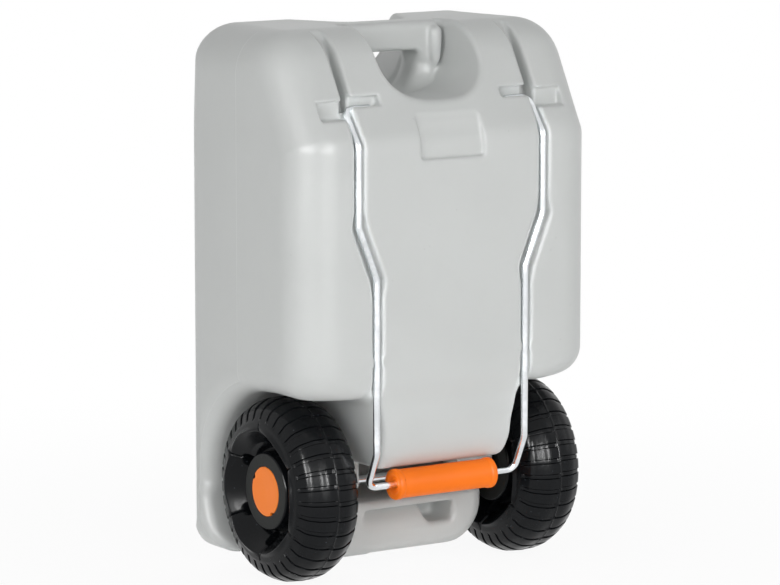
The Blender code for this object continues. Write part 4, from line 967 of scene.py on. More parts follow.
def tank_shell(step):
    """Points and quads of the whole moulding's skin, worked out part by part."""
    grid = Grid((0, REAR_Y - 4 * step, BOTTOM_Z - 4 * step),
                (HALF_WIDTH + 3 * step, FRONT_Y + 4 * step, TOP_Z + 4 * step), step)
    x, y, z = grid.points()
    body = outer_form(x, y, z)
    grid.values = carve(body, wheel_space(x, y, z), wheel_space_edge(x, y, z)).astype(np.float32)
    lug_room = LUG_RADIUS + ROOM
    grid.edit((0, AXLE_Y - lug_room, AXLE_Z - lug_room),
              (LUG_X + LUG_HALF + ROOM, AXLE_Y + lug_room, LUG_TOP + ROOM),
              lambda value, x, y, z: join(value, axle_lug(x, y, z), LUG_COVE))
    grid.edit((0, -1, SCOOP_Z - WINDOW_DEPTH - ROOM), (FRONT_SCOOP_HALF + ROOM, 1, 1),
              carve_handle_top)
    grid.edit((POST_X - ROOM, POST_Y - ROOM, WINDOW_TOP - 0.05), (POST_X + ROOM, BAR_Y, 1),
              add_posts)
    slots = ((PIN_SLOT_X - PIN_SLOT_HALF - ROOM, -1, ELBOW_Z - ROOM),
             (SIDE_SLOT_X + SIDE_SLOT_HALF + ROOM, 0, 1))
    grid.edit(*slots, carve_arm_slot)
    grid.edit(*slots, carve_cross_slots)
    groove_low, groove_high = NARROW_HALF_SPAN - ROOM, ARM_HALF_SPAN + ROOM
    grid.edit((groove_low, -1, SHOULDER_Z - 0.05), (groove_high, REAR_Y + 0.03, ELBOW_Z + ROOM),
              carve_arm_groove)
    grid.edit((groove_low, -1, BUMP_Z - ROOM), (groove_high, REAR_Y + 0.03, BUMP_Z + ROOM),
              add_snap_bumps)
    grid.edit((0, -1, CREASE_HEIGHT - PLATE_RISE - ROOM),
              (PLATE_HALF + ROOM, REAR_Y + 0.08, CREASE_HEIGHT + PLATE_RISE + ROOM),
              carve_plate_recess)
    grid.mirror()
    grid.edit((-FOOT_HALF - ROOM, -1, -1), (-0.05, 0.04, BOTTOM_Z + FOOT_CORNER + 0.002),
              square_foot_left)
    grid.edit((-RECESS_HALF - ROOM, -1, RECESS_FLOOR - ROOM),
              (RECESS_HALF + ROOM, FOOT_REAR_Y + RECESS_DEPTH + ROOM, FOOT_TOP + ROOM),
              carve_foot_recess)
    for place, bore, _ in CAPS.values():
        reach = bore / 2 + NECK_WALL + SKIRT_WALL + FINGER_ROOM + ROOM
        grid.edit((place[0] - reach, RECESS_Y - WELL_DEPTH - ROOM, place[1] - reach),
                  (place[0] + reach, 1, place[1] + reach), carve_cap_seat(place, bore))
    points, quads = surface_net(grid)
    points = relax(grid, points, quads, 3)
    return np.clip(points, np.array(TANK_LOW), np.array(TANK_HIGH)), quads


# Procedural materials

def add_node(tree, kind, inputs=None, **settings):
    """Add a node; an input is a value, or a socket to link from."""
    made = tree.nodes.new(kind)
    for key, value in settings.items():
        setattr(made, key, value)
    for key, value in (inputs or {}).items():
        if isinstance(value, bpy.types.NodeSocket):
            tree.links.new(value, made.inputs[key])
        else:
            made.inputs[key].default_value = value
    return made


def node_group(name, inputs, outputs):
    """New shader group: inputs are name: default, outputs are names."""
    tree = bpy.data.node_groups.new(name, "ShaderNodeTree")
    for key, default in inputs.items():
        socket = tree.interface.new_socket(name=key, in_out="INPUT",
                                           socket_type="NodeSocketFloat")
        socket.default_value = default
    for key in outputs:
        tree.interface.new_socket(name=key, in_out="OUTPUT", socket_type="NodeSocketFloat")
    return tree, tree.nodes.new("NodeGroupInput").outputs, tree.nodes.new("NodeGroupOutput").inputs


def noise(tree, vector, scale, detail=3.0, roughness=0.55):
    """Noise from 0 to 1."""
    made = add_node(tree, "ShaderNodeTexNoise",
                    {"Vector": vector, "Scale": scale, "Detail": detail, "Roughness": roughness})
    return made.outputs["Fac"]


def maths(tree, operation, first, second=None):
    """Result of one sum on values or sockets."""
    inputs = {0: first}
    if second is not None:
        inputs[1] = second
    return add_node(tree, "ShaderNodeMath", inputs, operation=operation).outputs[0]


def remap(tree, value, low, high, to_low=0.0, to_high=1.0):
    """Smooth step of a value from one range to another."""
    made = add_node(tree, "ShaderNodeMapRange",
                    {"Value": value, "From Min": low, "From Max": high,
                     "To Min": to_low, "To Max": to_high}, interpolation_type="SMOOTHSTEP")
    return made.outputs["Result"]


def moulded_skin_group():
    """Mottle, gloss change and fine grain of moulded plastic."""
    if "Moulded Skin" in bpy.data.node_groups:
        return bpy.data.node_groups["Moulded Skin"]
    tree, inputs, outputs = node_group(
        "Moulded Skin", {"Mottle Scale": 9.0, "Grain Scale": 900.0, "Grain": 0.3, "Wave": 0.7},
        ("Mottle", "Gloss", "Height"))
    place = tree.nodes.new("ShaderNodeTexCoord").outputs["Object"]
    mottle = noise(tree, place, inputs["Mottle Scale"], 4.0, 0.5)
    grain = noise(tree, place, inputs["Grain Scale"], 2.0, 0.6)
    stretched = add_node(tree, "ShaderNodeMapping", {"Vector": place, "Scale": (1.0, 1.0, 0.35)})
    wave = noise(tree, stretched.outputs[0], 22.0, 1.0, 0.4)
    scuff = noise(tree, stretched.outputs[0], 260.0, 3.0, 0.7)
    height = maths(tree, "ADD", maths(tree, "MULTIPLY", grain, inputs["Grain"]),
                   maths(tree, "MULTIPLY", wave, inputs["Wave"]))
    gloss = maths(tree, "ADD", maths(tree, "MULTIPLY", mottle, 0.6),
                  maths(tree, "MULTIPLY", scuff, 0.4))
    tree.links.new(mottle, outputs["Mottle"])
    tree.links.new(gloss, outputs["Gloss"])
    tree.links.new(height, outputs["Height"])
    return tree


def flecks_group():
    """Sparse small marks: pits, dust flecks or scratches."""
    if "Flecks" in bpy.data.node_groups:
        return bpy.data.node_groups["Flecks"]
    tree, inputs, outputs = node_group("Flecks", {"Scale": 90.0, "Amount": 0.1, "Stretch": 1.0},
                                       ("Mask",))
    place = tree.nodes.new("ShaderNodeTexCoord").outputs["Object"]
    warp = add_node(tree, "ShaderNodeTexNoise", {"Vector": place, "Scale": 40.0})
    moved = add_node(tree, "ShaderNodeVectorMath",
                     {0: place, 1: add_node(tree, "ShaderNodeVectorMath",
                                            {0: warp.outputs["Color"], "Scale": 0.006},
                                            operation="SCALE").outputs[0]}, operation="ADD")
    scale = add_node(tree, "ShaderNodeCombineXYZ", {0: inputs["Stretch"], 1: 1.0, 2: 1.0})
    stretched = add_node(tree, "ShaderNodeVectorMath", {0: moved.outputs[0], 1: scale.outputs[0]},
                         operation="MULTIPLY")
    cells = add_node(tree, "ShaderNodeTexVoronoi",
                     {"Vector": stretched.outputs[0], "Scale": inputs["Scale"]}, feature="F1")
    near = remap(tree, cells.outputs["Distance"], 0.20, 0.10)
    chosen = add_node(tree, "ShaderNodeSeparateColor", {0: cells.outputs["Color"]})
    picked = maths(tree, "LESS_THAN", chosen.outputs[0], inputs["Amount"])
    tree.links.new(maths(tree, "MULTIPLY", near, picked), outputs["Mask"])
    return tree


def edge_wear_group():
    """Mask of rubbed edges."""
    if "Edge Wear" in bpy.data.node_groups:
        return bpy.data.node_groups["Edge Wear"]
    tree, inputs, outputs = node_group("Edge Wear", {"Start": 0.53, "End": 0.60, "Breakup": 60.0},
                                       ("Mask",))
    place = tree.nodes.new("ShaderNodeTexCoord").outputs["Object"]
    point = tree.nodes.new("ShaderNodeNewGeometry").outputs["Pointiness"]
    edge = remap(tree, point, inputs["Start"], inputs["End"])
    patchy = remap(tree, noise(tree, place, inputs["Breakup"], 4.0, 0.6), 0.40, 0.62)
    tree.links.new(maths(tree, "MULTIPLY", edge, patchy), outputs["Mask"])
    return tree


def parting_seam_group():
    """Line where the halves of the mould meet: up both sides and round the wheel arches."""
    if "Parting Seam" in bpy.data.node_groups:
        return bpy.data.node_groups["Parting Seam"]
    tree, _, outputs = node_group("Parting Seam", {}, ("Mask",))
    place = add_node(tree, "ShaderNodeSeparateXYZ",
                     {0: tree.nodes.new("ShaderNodeTexCoord").outputs["Object"]}).outputs
    forward = maths(tree, "SUBTRACT", place[1], AXLE_Y)
    upward = maths(tree, "SUBTRACT", place[2], AXLE_Z)
    reach = maths(tree, "SQRT", maths(tree, "ADD", maths(tree, "MULTIPLY", forward, forward),
                                      maths(tree, "MULTIPLY", upward, upward)))
    straight = maths(tree, "ABSOLUTE", maths(tree, "SUBTRACT", place[1], SEAM_Y))
    ring = maths(tree, "ABSOLUTE", maths(tree, "SUBTRACT", reach, SEAM_RADIUS))
    ring = maths(tree, "ADD", ring, maths(tree, "LESS_THAN", place[1], SEAM_Y))
    high = maths(tree, "GREATER_THAN", place[2], SEAM_LOW_Z)
    away = maths(tree, "ADD", maths(tree, "MULTIPLY", straight, high),
                 maths(tree, "MULTIPLY", ring, maths(tree, "SUBTRACT", 1.0, high)))
    line = remap(tree, away, *SEAM_FADE)
    on_side = maths(tree, "GREATER_THAN", maths(tree, "ABSOLUTE", place[0]), HALF_WIDTH - 0.03)
    tree.links.new(maths(tree, "MULTIPLY", line, on_side), outputs["Mask"])
    return tree


def use_group(tree, group, **values):
    """Outputs of a shader group, with its inputs set by name."""
    made = tree.nodes.new("ShaderNodeGroup")
    made.node_tree = group
    for key, value in values.items():
        made.inputs[key.replace("_", " ")].default_value = value
    return made.outputs


def blend_colours(tree, share, first, second):
    """Mix of two colours, by a share."""
    made = add_node(tree, "ShaderNodeMix", data_type="RGBA")
    for index, value in ((0, share), (6, first), (7, second)):
        if isinstance(value, bpy.types.NodeSocket):
            tree.links.new(value, made.inputs[index])
        else:
            made.inputs[index].default_value = value
    return made.outputs[2]


def shade(colour, factor):
    """Colour made darker or lighter, with an alpha of 1."""
    return tuple(min(channel * factor, 1.0) for channel in colour[:3]) + (1.0,)


def new_material(name):
    """Material with its node tree and its main shader."""
    material = bpy.data.materials.new(name)
    material.use_nodes = True
    return material, material.node_tree, material.node_tree.nodes["Principled BSDF"]


def set_bump(tree, shader, height, distance):
    """Let a height show as relief."""
    bump = add_node(tree, "ShaderNodeBump", {"Height": height, "Distance": distance})
    tree.links.new(bump.outputs[0], shader.inputs["Normal"])


def plastic(name, colour):
    """Moulded plastic of the named finish: mottle, gloss change, flecks, wear, and a raised seam
    with a painted highlight.
    """
    if name in bpy.data.materials:
        return bpy.data.materials[name]
    finish = FINISHES[name]
    material, tree, shader = new_material(name)
    skin = use_group(tree, moulded_skin_group(), Wave=finish["wave"])
    tone = finish["tone"]
    base = blend_colours(tree, remap(tree, skin["Mottle"], 0.35, 0.65), shade(colour, 1 - tone),
                         shade(colour, 1 + tone))
    if "wear" in finish:
        start, end, strength, worn_shade = finish["wear"]
        worn = use_group(tree, edge_wear_group(), Start=start, End=end)["Mask"]
        share = maths(tree, "MULTIPLY", worn, strength)
        base = blend_colours(tree, share, base, shade(colour, worn_shade))
    scale, amount, stretch, fleck_shade, dent = finish["flecks"]
    mask = use_group(tree, flecks_group(), Scale=scale, Amount=amount, Stretch=stretch)["Mask"]
    base = blend_colours(tree, mask, base, shade(finish.get("fleck_colour", colour), fleck_shade))
    height = maths(tree, "ADD", skin["Height"], maths(tree, "MULTIPLY", mask, dent))
    # Raised parting seam: the bump gives its relief; its lighter colour is a painted highlight.
    if "seam_painted_highlight" in finish:
        raised = use_group(tree, parting_seam_group())["Mask"]
        height = maths(tree, "ADD", height, maths(tree, "MULTIPLY", raised, 0.6))
        base = blend_colours(tree, maths(tree, "MULTIPLY", raised, 0.8), base,
                             shade(colour, finish["seam_painted_highlight"]))
    shader.inputs["Specular IOR Level"].default_value = finish["specular"]
    tree.links.new(base, shader.inputs["Base Color"])
    roughness, spread = finish["roughness"], finish["gloss"]
    tree.links.new(remap(tree, skin["Gloss"], 0.3, 0.7, roughness - spread, roughness + spread),
                   shader.inputs["Roughness"])
    set_bump(tree, shader, height, finish["bump"])
    return material


def zinc_plate():
    """Bright zinc on steel: soft spangle, fine drawn grain and dull patches."""
    name = "zinc_plated_steel"
    if name in bpy.data.materials:
        return bpy.data.materials[name]
    colour = bpy.context.scene.waste_tank_handle.wire_colour
    material, tree, shader = new_material(name)
    shader.inputs["Metallic"].default_value = 1.0
    place = tree.nodes.new("ShaderNodeTexCoord").outputs["Object"]
    patches = noise(tree, place, 34.0, 4.0, 0.6)
    fine = noise(tree, place, 420.0, 3.0, 0.6)
    base = blend_colours(tree, remap(tree, patches, 0.38, 0.66), shade(colour, 0.90),
                         shade(colour, 1.05))
    tree.links.new(base, shader.inputs["Base Color"])
    uneven = maths(tree, "ADD", maths(tree, "MULTIPLY", patches, 0.5),
                   maths(tree, "MULTIPLY", fine, 0.5))
    tree.links.new(remap(tree, uneven, 0.35, 0.65, 0.15, 0.22), shader.inputs["Roughness"])
    set_bump(tree, shader, fine, 0.00001)
    return material


# Pieces

def make_body():
    """The tank's moulding."""
    settings = bpy.context.scene.waste_tank_body
    points, quads = tank_shell(settings.grid_step)
    shell = new_object("tank_moulding", points, quads.tolist(),
                       [plastic("tank_moulding", settings.colour)])
    dress(shell, "tank_body", "tank")


def wheel_profile():
    """(along, radius) outline of a wheel, along measured outward from its middle."""
    half, radius = WHEEL_HALF, WHEEL_RADIUS - 0.0004
    outer = [(0.0234, 0.0055, 0), (0.0234, 0.0283, 0.0004), (0.0318, 0.0283, 0.0006),
             (0.0318, 0.0435, 0.0028), (0.0122, 0.0466, 0.0040), (0.0208, 0.0560, 0.0080),
             (0.0335, 0.0655, 0.0040), (half - 0.0012, 0.0700, 0.0024), (half, 0.0740, 0.0014),
             (half - 0.0010, 0.0785, 0.0050), (0.0325, 0.0950, 0.0160), (0.0150, radius, 0.0300),
             (0.0006, radius, 0), (0.0, WHEEL_RADIUS, 0)]
    inner = [(-a, r, f) for a, r, f in reversed(outer[3:-1])] + [(-0.0318, 0.0055, 0.0005)]
    return fillet_path(outer + inner, 0.0018, closed=True)


def groove_depth(across, radius, phase):
    """Depth of the groove between two ribs, with a trench along both its sides."""
    flat = GROOVE_DEPTH * ramp(phase, *GROOVE_SIDE)
    trench = TRENCH_DEPTH * ramp(phase, *TRENCH_OUTER) * ramp(phase, *TRENCH_INNER)
    return (flat + trench) * ramp(radius, *TREAD_START) * ramp(across, *MOULD_RIB_SIDE)


def dish_relief(radius, angle):
    """How far the dish's petals swell outward, less their creases and holes."""
    sector = 2 * math.pi / PETALS
    from_crease = np.abs((angle / sector + 0.5) % 1 - 0.5) * sector
    in_dish = ramp(radius, *PETAL_INNER) * ramp(radius, *PETAL_OUTER)
    turned = np.clip(from_crease / sector * math.pi, 0, math.pi / 2)
    swell = PETAL_SWELL * np.sin(turned) ** 0.7 * in_dish
    crease = (CREASE_DEPTH * np.exp(-(radius * from_crease / CREASE_WIDTH) ** 2)
              * ramp(radius, *CREASE_INNER) * ramp(radius, *CREASE_OUTER))
    away = np.hypot(radius * np.cos(from_crease) - HOLE_PLACE, radius * np.sin(from_crease))
    hole = HOLE_DEPTH * ramp(away, *HOLE_SIDE) * ramp(radius, *HOLE_INNER)
    return swell - crease - hole


def shape_wheel(along, radius, angle, pitch):
    """Cut the tread's grooves, and the dish's petals and their holes."""
    across, side = np.abs(along), np.sign(along)
    depth = groove_depth(across, radius, np.abs((angle / pitch + 0.5) % 1 - 0.5))
    out_radius = radius - depth * ramp(radius, *GROOVE_INWARD)
    cut = across - depth * ramp(radius, *GROOVE_SIDEWAYS) + dish_relief(radius, angle)
    cut = np.where(across < 1e-9, 0.0, np.maximum(cut, 0.0))
    cut = np.where(radius < BOSS_RADIUS, across, cut)
    angle = angle + GROOVE_STAGGER * pitch * side * ramp(across, 0.0, MOULD_RIB_SIDE[0])
    return side * cut, out_radius, angle


def make_wheels():
    """Both wheels, with a matt face on each boss."""
    settings = bpy.context.scene.waste_tank_wheels
    materials = [plastic("wheel_plastic_satin", settings.tyre_colour),
                 plastic("wheel_boss_matt", settings.boss_colour)]
    profile = wheel_profile()
    ribs = settings.rib_count
    pitch = 2 * math.pi / ribs
    angles = np.concatenate([(rib + np.array(GROOVE_SAMPLES)) * pitch for rib in range(ribs)])
    for side, word in SIDES:
        middle = Vector((side * WHEEL_MID_X, AXLE_Y, AXLE_Z))
        wheel = turn(word + "_wheel_moulding", profile, angles, middle, side, materials,
                     lambda along, radius, angle: shape_wheel(along, radius, angle, pitch))
        for face in wheel.data.polygons:
            offset = face.center - middle
            reach = math.hypot(offset.y, offset.z)
            if BOSS_FACE[0] < reach < BOSS_FACE[1] and abs(offset.x) > BOSS_FACE_X:
                face.material_index = 1
        dress(wheel, word + "_wheel", word + "_roller")


def shape_hub_cap(along, radius, angle):
    """Two notches in the rim of the disc."""
    for middle in DISC_NOTCHES:
        away = np.abs((angle - middle + math.pi) % (2 * math.pi) - math.pi) * 0.028
        radius = radius - NOTCH_DEPTH * ramp(away, *NOTCH_SIDE) * ramp(radius, *NOTCH_INNER)
    return along, radius, angle


def make_hub_caps():
    """Orange disc in the boss of each wheel, its orange brightened as painted light for the dim
    side it faces.
    """
    colour = bpy.context.scene.waste_tank_wheels.disc_colour_painted_bright
    inner, outer = HUB_CAP_LOW.x, HUB_CAP_HIGH.x
    rim = HUB_CAP_HIGH.z - AXLE_Z
    profile = fillet_path([(outer - 0.0006, 0.0, 0), (outer, 0.0225, 0.010),
                           (outer, rim, 0.0008), (inner, rim, 0.0004), (inner, 0.0, 0)], 0.0016)
    for side, word in SIDES:
        disc = turn(word + "_hub_disc", profile, even_angles(180), (0, AXLE_Y, AXLE_Z), side,
                    [plastic("orange_hub_disc", colour)], shape_hub_cap, closed=False)
        dress(disc, word + "_hub_cap", word + "_roller")


def ring_profile(near, far, bore, rim, edge, lean=0.0):
    """Outline of a ring; lean sets its bore back and its rim forward, as a spring washer has."""
    return fillet_path([(near, bore, edge), (near + lean, rim, edge), (far, rim, edge),
                        (far - lean, bore, edge)], 0.0008, closed=True)


def make_axle():
    """Axle rod with chamfered ends, and the washers on it."""
    half, radius = AXLE_HIGH.x, AXLE_HIGH.z - AXLE_Z
    chamfer = 0.0008
    rod = fillet_path([(-half, 0, 0), (-half, radius - chamfer, 0.0001),
                       (-half + chamfer, radius, 0.0004), (half - chamfer, radius, 0.0004),
                       (half, radius - chamfer, 0.0001), (half, 0, 0)], 0.006)
    axle = turn("axle_rod", rod, even_angles(40), (0, AXLE_Y, AXLE_Z), 1, [zinc_plate()],
                closed=False)
    dress(axle, "axle", "tank")
    for side, word in SIDES:
        for kind, lean in (("spacer", 0.0), ("outer", 0.0), ("push", 0.0008)):
            low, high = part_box(f"right_{kind}_washer")
            profile = ring_profile(low.x, high.x, AXLE_BORE, high.z - AXLE_Z, 0.0003, lean)
            ring = turn(f"{word}_{kind}_ring", profile, even_angles(48), (0, AXLE_Y, AXLE_Z),
                        side, [zinc_plate()])
            node = f"{word}_{kind}_washer"
            dress(ring, node, body_of_node(node))


def make_handle():
    """Bent wire: two pins, two jogged arms and the crossbar."""
    half = [(ARM_HALF_SPAN - PIN_LENGTH, PIVOT_Y, PIVOT_Z, 0),
            (ARM_HALF_SPAN, PIVOT_Y, PIVOT_Z, BEND_RADIUS),
            (ARM_HALF_SPAN, ARM_Y, ELBOW_Z, BEND_RADIUS),
            (ARM_HALF_SPAN, ARM_Y, UPPER_JOG_Z, BEND_RADIUS),
            (NARROW_HALF_SPAN, ARM_Y, LOWER_JOG_Z, BEND_RADIUS),
            (NARROW_HALF_SPAN, ARM_Y, KNEE_Z, BEND_RADIUS),
            (NARROW_HALF_SPAN, CROSSBAR_Y, CROSSBAR_Z, BEND_RADIUS)]
    corners = half + [(-x, y, z, r) for x, y, z, r in reversed(half)]
    wire = sweep("handle_wire", fillet_path(corners, 0.0022), WIRE_RADIUS, 24, [zinc_plate()])
    dress(wire, "pull_handle", "handle")


def make_grip():
    """Sleeve with a raised rim and a sunk face at each end."""
    colour = bpy.context.scene.waste_tank_handle.grip_colour
    end = GRIP_HIGH.x
    radius = GRIP_HIGH.z - CROSSBAR_Z
    bore = WIRE_RADIUS + 0.0004
    half = [(end - 0.0040, bore, 0.0004), (end - 0.0036, 0.0088, 0.0012),
            (end - 0.0004, 0.0118, 0.0012), (end, radius - 0.0035, 0.0012),
            (end - 0.0006, radius, 0.0014), (end - 0.0060, radius, 0.0010),
            (end - 0.0078, radius - 0.0010, 0.0016)]
    corners = half + [(-a, r, f) for a, r, f in reversed(half)]
    profile = fillet_path(corners, 0.0014, closed=True)
    grip = turn("grip_sleeve", profile, even_angles(96), (0, CROSSBAR_Y, CROSSBAR_Z), 1,
                [plastic("orange_moulded_plastic", colour)])
    dress(grip, "handle_grip", "grip")


def make_cap(word):
    """Screw cap with a ribbed skirt and a raised rim on top, and its seal."""
    settings = bpy.context.scene.waste_tank_caps
    (middle_x, middle_z), bore, ribs = CAPS[word]
    place = (middle_x, 0, middle_z)
    inner = bore / 2 + NECK_WALL + SKIRT_GAP
    outer = bore / 2 + NECK_WALL + SKIRT_WALL
    top, ceiling, rim = FRONT_Y, NECK_TOP_Y + 0.0026, CAP_RIM_Y
    corners = [(top - 0.0012, 0, 0), (top - 0.0012, outer * 0.62, 0.0006),
               (top, outer * 0.66, 0.0010), (top, outer - 0.0014, 0.0014),
               (top - 0.0028, outer - 0.0002, 0.0012), (rim + 0.0022, outer, 0.0008),
               (rim, outer, 0.0006), (rim, inner, 0.0006), (ceiling, inner, 0.0005),
               (ceiling, 0, 0)]

    def ribbed(along, radius, angle):
        wave = 0.5 + 0.5 * np.cos(angle * ribs)
        on_skirt = (ramp(along, rim + 0.0024, rim + 0.0036) * ramp(along, top - 0.0016, top - 0.003)
                    * ramp(radius, outer - 0.0020, outer - 0.0008))
        return along, radius - CAP_RIB_DEPTH * wave ** 0.8 * on_skirt, angle

    cap = turn(word + "_screw_cap", fillet_path(corners, 0.0011), even_angles(ribs * 8), place, 1,
               [plastic("black_moulded_plastic", settings.colour)], ribbed, closed=False, axis="y")
    dress(cap, word + "_cap", body_of_node(word + "_cap"))
    low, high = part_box(word + "_gasket")
    seal_rim = high.x - middle_x
    profile = ring_profile(low.y, high.y, seal_rim - SEAL_WIDTH, seal_rim, 0.0006)
    seal = turn(word + "_seal", profile, even_angles(96), place, 1,
                [plastic("seal_rubber_matt", settings.seal_colour)], axis="y")
    dress(seal, word + "_gasket", body_of_node(word + "_gasket"))


# Studio

def seen_as_white(tree):
    """Share of light rays that see the bare studio: camera, mirror and glass rays."""
    path = tree.nodes.new("ShaderNodeLightPath").outputs
    first = maths(tree, "MAXIMUM", path["Is Camera Ray"], path["Is Glossy Ray"])
    return maths(tree, "MAXIMUM", first, path["Is Transmission Ray"])


def make_floor():
    """White floor that keeps the tank's shadow."""
    corners = [(x * FLOOR_HALF, y * FLOOR_HALF, 0) for x, y in ((-1, -1), (1, -1), (1, 1), (-1, 1))]
    material, tree, shader = new_material("studio_floor")
    place = tree.nodes.new("ShaderNodeTexCoord").outputs["Object"]
    speckle = noise(tree, place, 3.0)
    tree.links.new(blend_colours(tree, speckle, (0.86, 0.86, 0.86, 1), (0.90, 0.90, 0.90, 1)),
                   shader.inputs["Base Color"])
    shader.inputs["Roughness"].default_value = 0.9
    shader.inputs["Specular IOR Level"].default_value = 0.1
    white = add_node(tree, "ShaderNodeEmission", {"Color": (1, 1, 1, 1), "Strength": 1.0})
    away = add_node(tree, "ShaderNodeVectorMath", {0: place}, operation="LENGTH").outputs["Value"]
    share = maths(tree, "MULTIPLY", seen_as_white(tree), remap(tree, away, 0.25, 1.2, 0.93, 1.0))
    mixed = add_node(tree, "ShaderNodeMixShader",
                     {0: share, 1: shader.outputs[0], 2: white.outputs[0]})
    tree.links.new(mixed.outputs[0], tree.nodes["Material Output"].inputs["Surface"])
    floor = new_object("studio_floor", corners, [(0, 1, 2, 3)], [material])


def make_world(strength):
    """Soft surround, seen as plain white."""
    world = bpy.data.worlds.new("studio_world")
    world.use_nodes = True
    tree = world.node_tree
    soft = tree.nodes["Background"]
    soft.inputs["Color"].default_value = (1, 1, 1, 1)
    soft.inputs["Strength"].default_value = strength
    white = add_node(tree, "ShaderNodeBackground", {"Color": (1, 1, 1, 1), "Strength": 1.0})
    mixed = add_node(tree, "ShaderNodeMixShader", {0: seen_as_white(tree), 1: soft.outputs[0],
                                                   2: white.outputs[0]})
    tree.links.new(mixed.outputs[0], tree.nodes["World Output"].inputs["Surface"])
    bpy.context.scene.world = world


def area_light(name, place, target, size, power, soft=True, mirrored=True):
    """Rectangle of light; soft: it lights matt surfaces, mirrored: it shows in glossy ones."""
    data = bpy.data.lights.new(name, "AREA")
    data.shape = "RECTANGLE"
    data.size, data.size_y = size
    data.energy = power
    lamp = bpy.data.objects.new(name, data)
    bpy.context.scene.collection.objects.link(lamp)
    lamp.location = place
    lamp.rotation_euler = (Vector(target) - Vector(place)).to_track_quat("-Z", "Y").to_euler()
    lamp.visible_diffuse = soft
    lamp.visible_glossy = mirrored
    lamp.visible_camera = False


def make_camera():
    """Camera fitted to the photo."""
    data = bpy.data.cameras.new("studio_camera")
    data.lens = CAMERA_LENS
    data.sensor_width = 36.0
    camera = bpy.data.objects.new("studio_camera", data)
    bpy.context.scene.collection.objects.link(camera)
    camera.location = CAMERA_PLACE
    aim = Vector(CAMERA_AIM) - camera.location
    camera.rotation_euler = aim.to_track_quat("-Z", "Y").to_euler()
    bpy.context.scene.camera = camera


def make_stage():
    """Floor, surround, lights and camera."""
    settings = bpy.context.scene.waste_tank_stage
    key, gleam = settings.key_power, settings.gleam_power
    make_floor()
    make_world(settings.world_strength)
    area_light("left_softbox", LEFT_LIGHT, LIGHT_AIM, (1.2, 1.2), key, mirrored=False)
    area_light("right_softbox", RIGHT_LIGHT, LIGHT_AIM, (1.1, 1.1), key * 0.94, mirrored=False)
    area_light("left_window", LEFT_LIGHT, LIGHT_AIM, (1.7, 1.0), gleam * 1.15, soft=False)
    area_light("right_window", RIGHT_LIGHT, LIGHT_AIM, (1.45, 1.0), gleam, soft=False)
    area_light("floor_glow", (0, 0, 0.003), (0, 0, 1), (3.0, 3.0), settings.floor_power,
               mirrored=False)
    area_light("fill_softbox", FILL_LIGHT, SIDE_LIGHT_AIM, (1.4, 1.8), key * 0.35)
    area_light("back_softbox", BACK_LIGHT, SIDE_LIGHT_AIM, (2.0, 1.4), key * 0.8, mirrored=False)
    make_camera()
    bpy.context.scene.view_settings.view_transform = "Standard"


# Settings that a user would change

class WASTE_TANK_PG_body(bpy.types.PropertyGroup):
    """Settings of the moulding"""
    colour: FloatVectorProperty(name="Plastic colour", description="Colour of the moulding",
                                subtype="COLOR", default=(0.585, 0.600, 0.592))
    grid_step: FloatProperty(name="Skin step", description="Spacing of the skin's points",
                             default=0.0024, min=0.0015, max=0.006, unit="LENGTH", precision=4)


class WASTE_TANK_PG_wheels(bpy.types.PropertyGroup):
    """Settings of the wheels"""
    tyre_colour: FloatVectorProperty(name="Tyre colour", description="Colour of the wheels",
                                     subtype="COLOR", default=(0.0045, 0.0052, 0.0062))
    # Brighter than the grip's orange: painted light for the dim side the discs face.
    disc_colour_painted_bright: FloatVectorProperty(name="Hub disc colour", description="Colour of the hub discs",
                                     subtype="COLOR", default=(1.0, 0.225, 0.012))
    boss_colour: FloatVectorProperty(name="Boss colour", description="Colour of the hub's face",
                                     subtype="COLOR", default=(0.021, 0.0222, 0.0215))
    rib_count: IntProperty(name="Ribs", description="Ribs round each tread",
                           default=36, min=18, max=60)


class WASTE_TANK_PG_handle(bpy.types.PropertyGroup):
    """Settings of the pull handle"""
    wire_colour: FloatVectorProperty(name="Wire colour", description="Colour of the zinc plate",
                                     subtype="COLOR", default=(0.72, 0.74, 0.76))
    grip_colour: FloatVectorProperty(name="Grip colour", description="Colour of the grip",
                                     subtype="COLOR", default=(0.98, 0.195, 0.010))


class WASTE_TANK_PG_caps(bpy.types.PropertyGroup):
    """Settings of the screw caps"""
    colour: FloatVectorProperty(name="Cap colour", description="Colour of the screw caps",
                                subtype="COLOR", default=(0.016, 0.017, 0.018))
    seal_colour: FloatVectorProperty(name="Seal colour", description="Colour of the rubber seals",
                                     subtype="COLOR", default=(0.022, 0.022, 0.023))


class WASTE_TANK_PG_stage(bpy.types.PropertyGroup):
    """Settings of the studio"""
    key_power: FloatProperty(name="Key light", description="Power of the largest softbox",
                             default=20.0, min=0.0, unit="POWER")
    gleam_power: FloatProperty(name="Window gleam", description="Power of the mirrored windows",
                               default=320.0, min=0.0, unit="POWER")
    floor_power: FloatProperty(name="Floor glow", description="Light sent back by the bright floor",
                               default=6.0, min=0.0, unit="POWER")
    world_strength: FloatProperty(name="Surround", description="Strength of the soft surround",
                                  default=0.42, min=0.0)


class WASTE_TANK_OT_body(bpy.types.Operator):
    """Make the tank's moulding"""
    bl_idname = "waste_tank.make_body"
    bl_label = "Make moulding"

    def execute(self, context):
        make_body()
        return {"FINISHED"}


class WASTE_TANK_OT_wheels(bpy.types.Operator):
    """Make both wheels and their hub caps"""
    bl_idname = "waste_tank.make_wheels"
    bl_label = "Make wheels"

    def execute(self, context):
        make_wheels()
        make_hub_caps()
        return {"FINISHED"}


class WASTE_TANK_OT_axle(bpy.types.Operator):
    """Make the axle and its washers"""
    bl_idname = "waste_tank.make_axle"
    bl_label = "Make axle"

    def execute(self, context):
        make_axle()
        return {"FINISHED"}


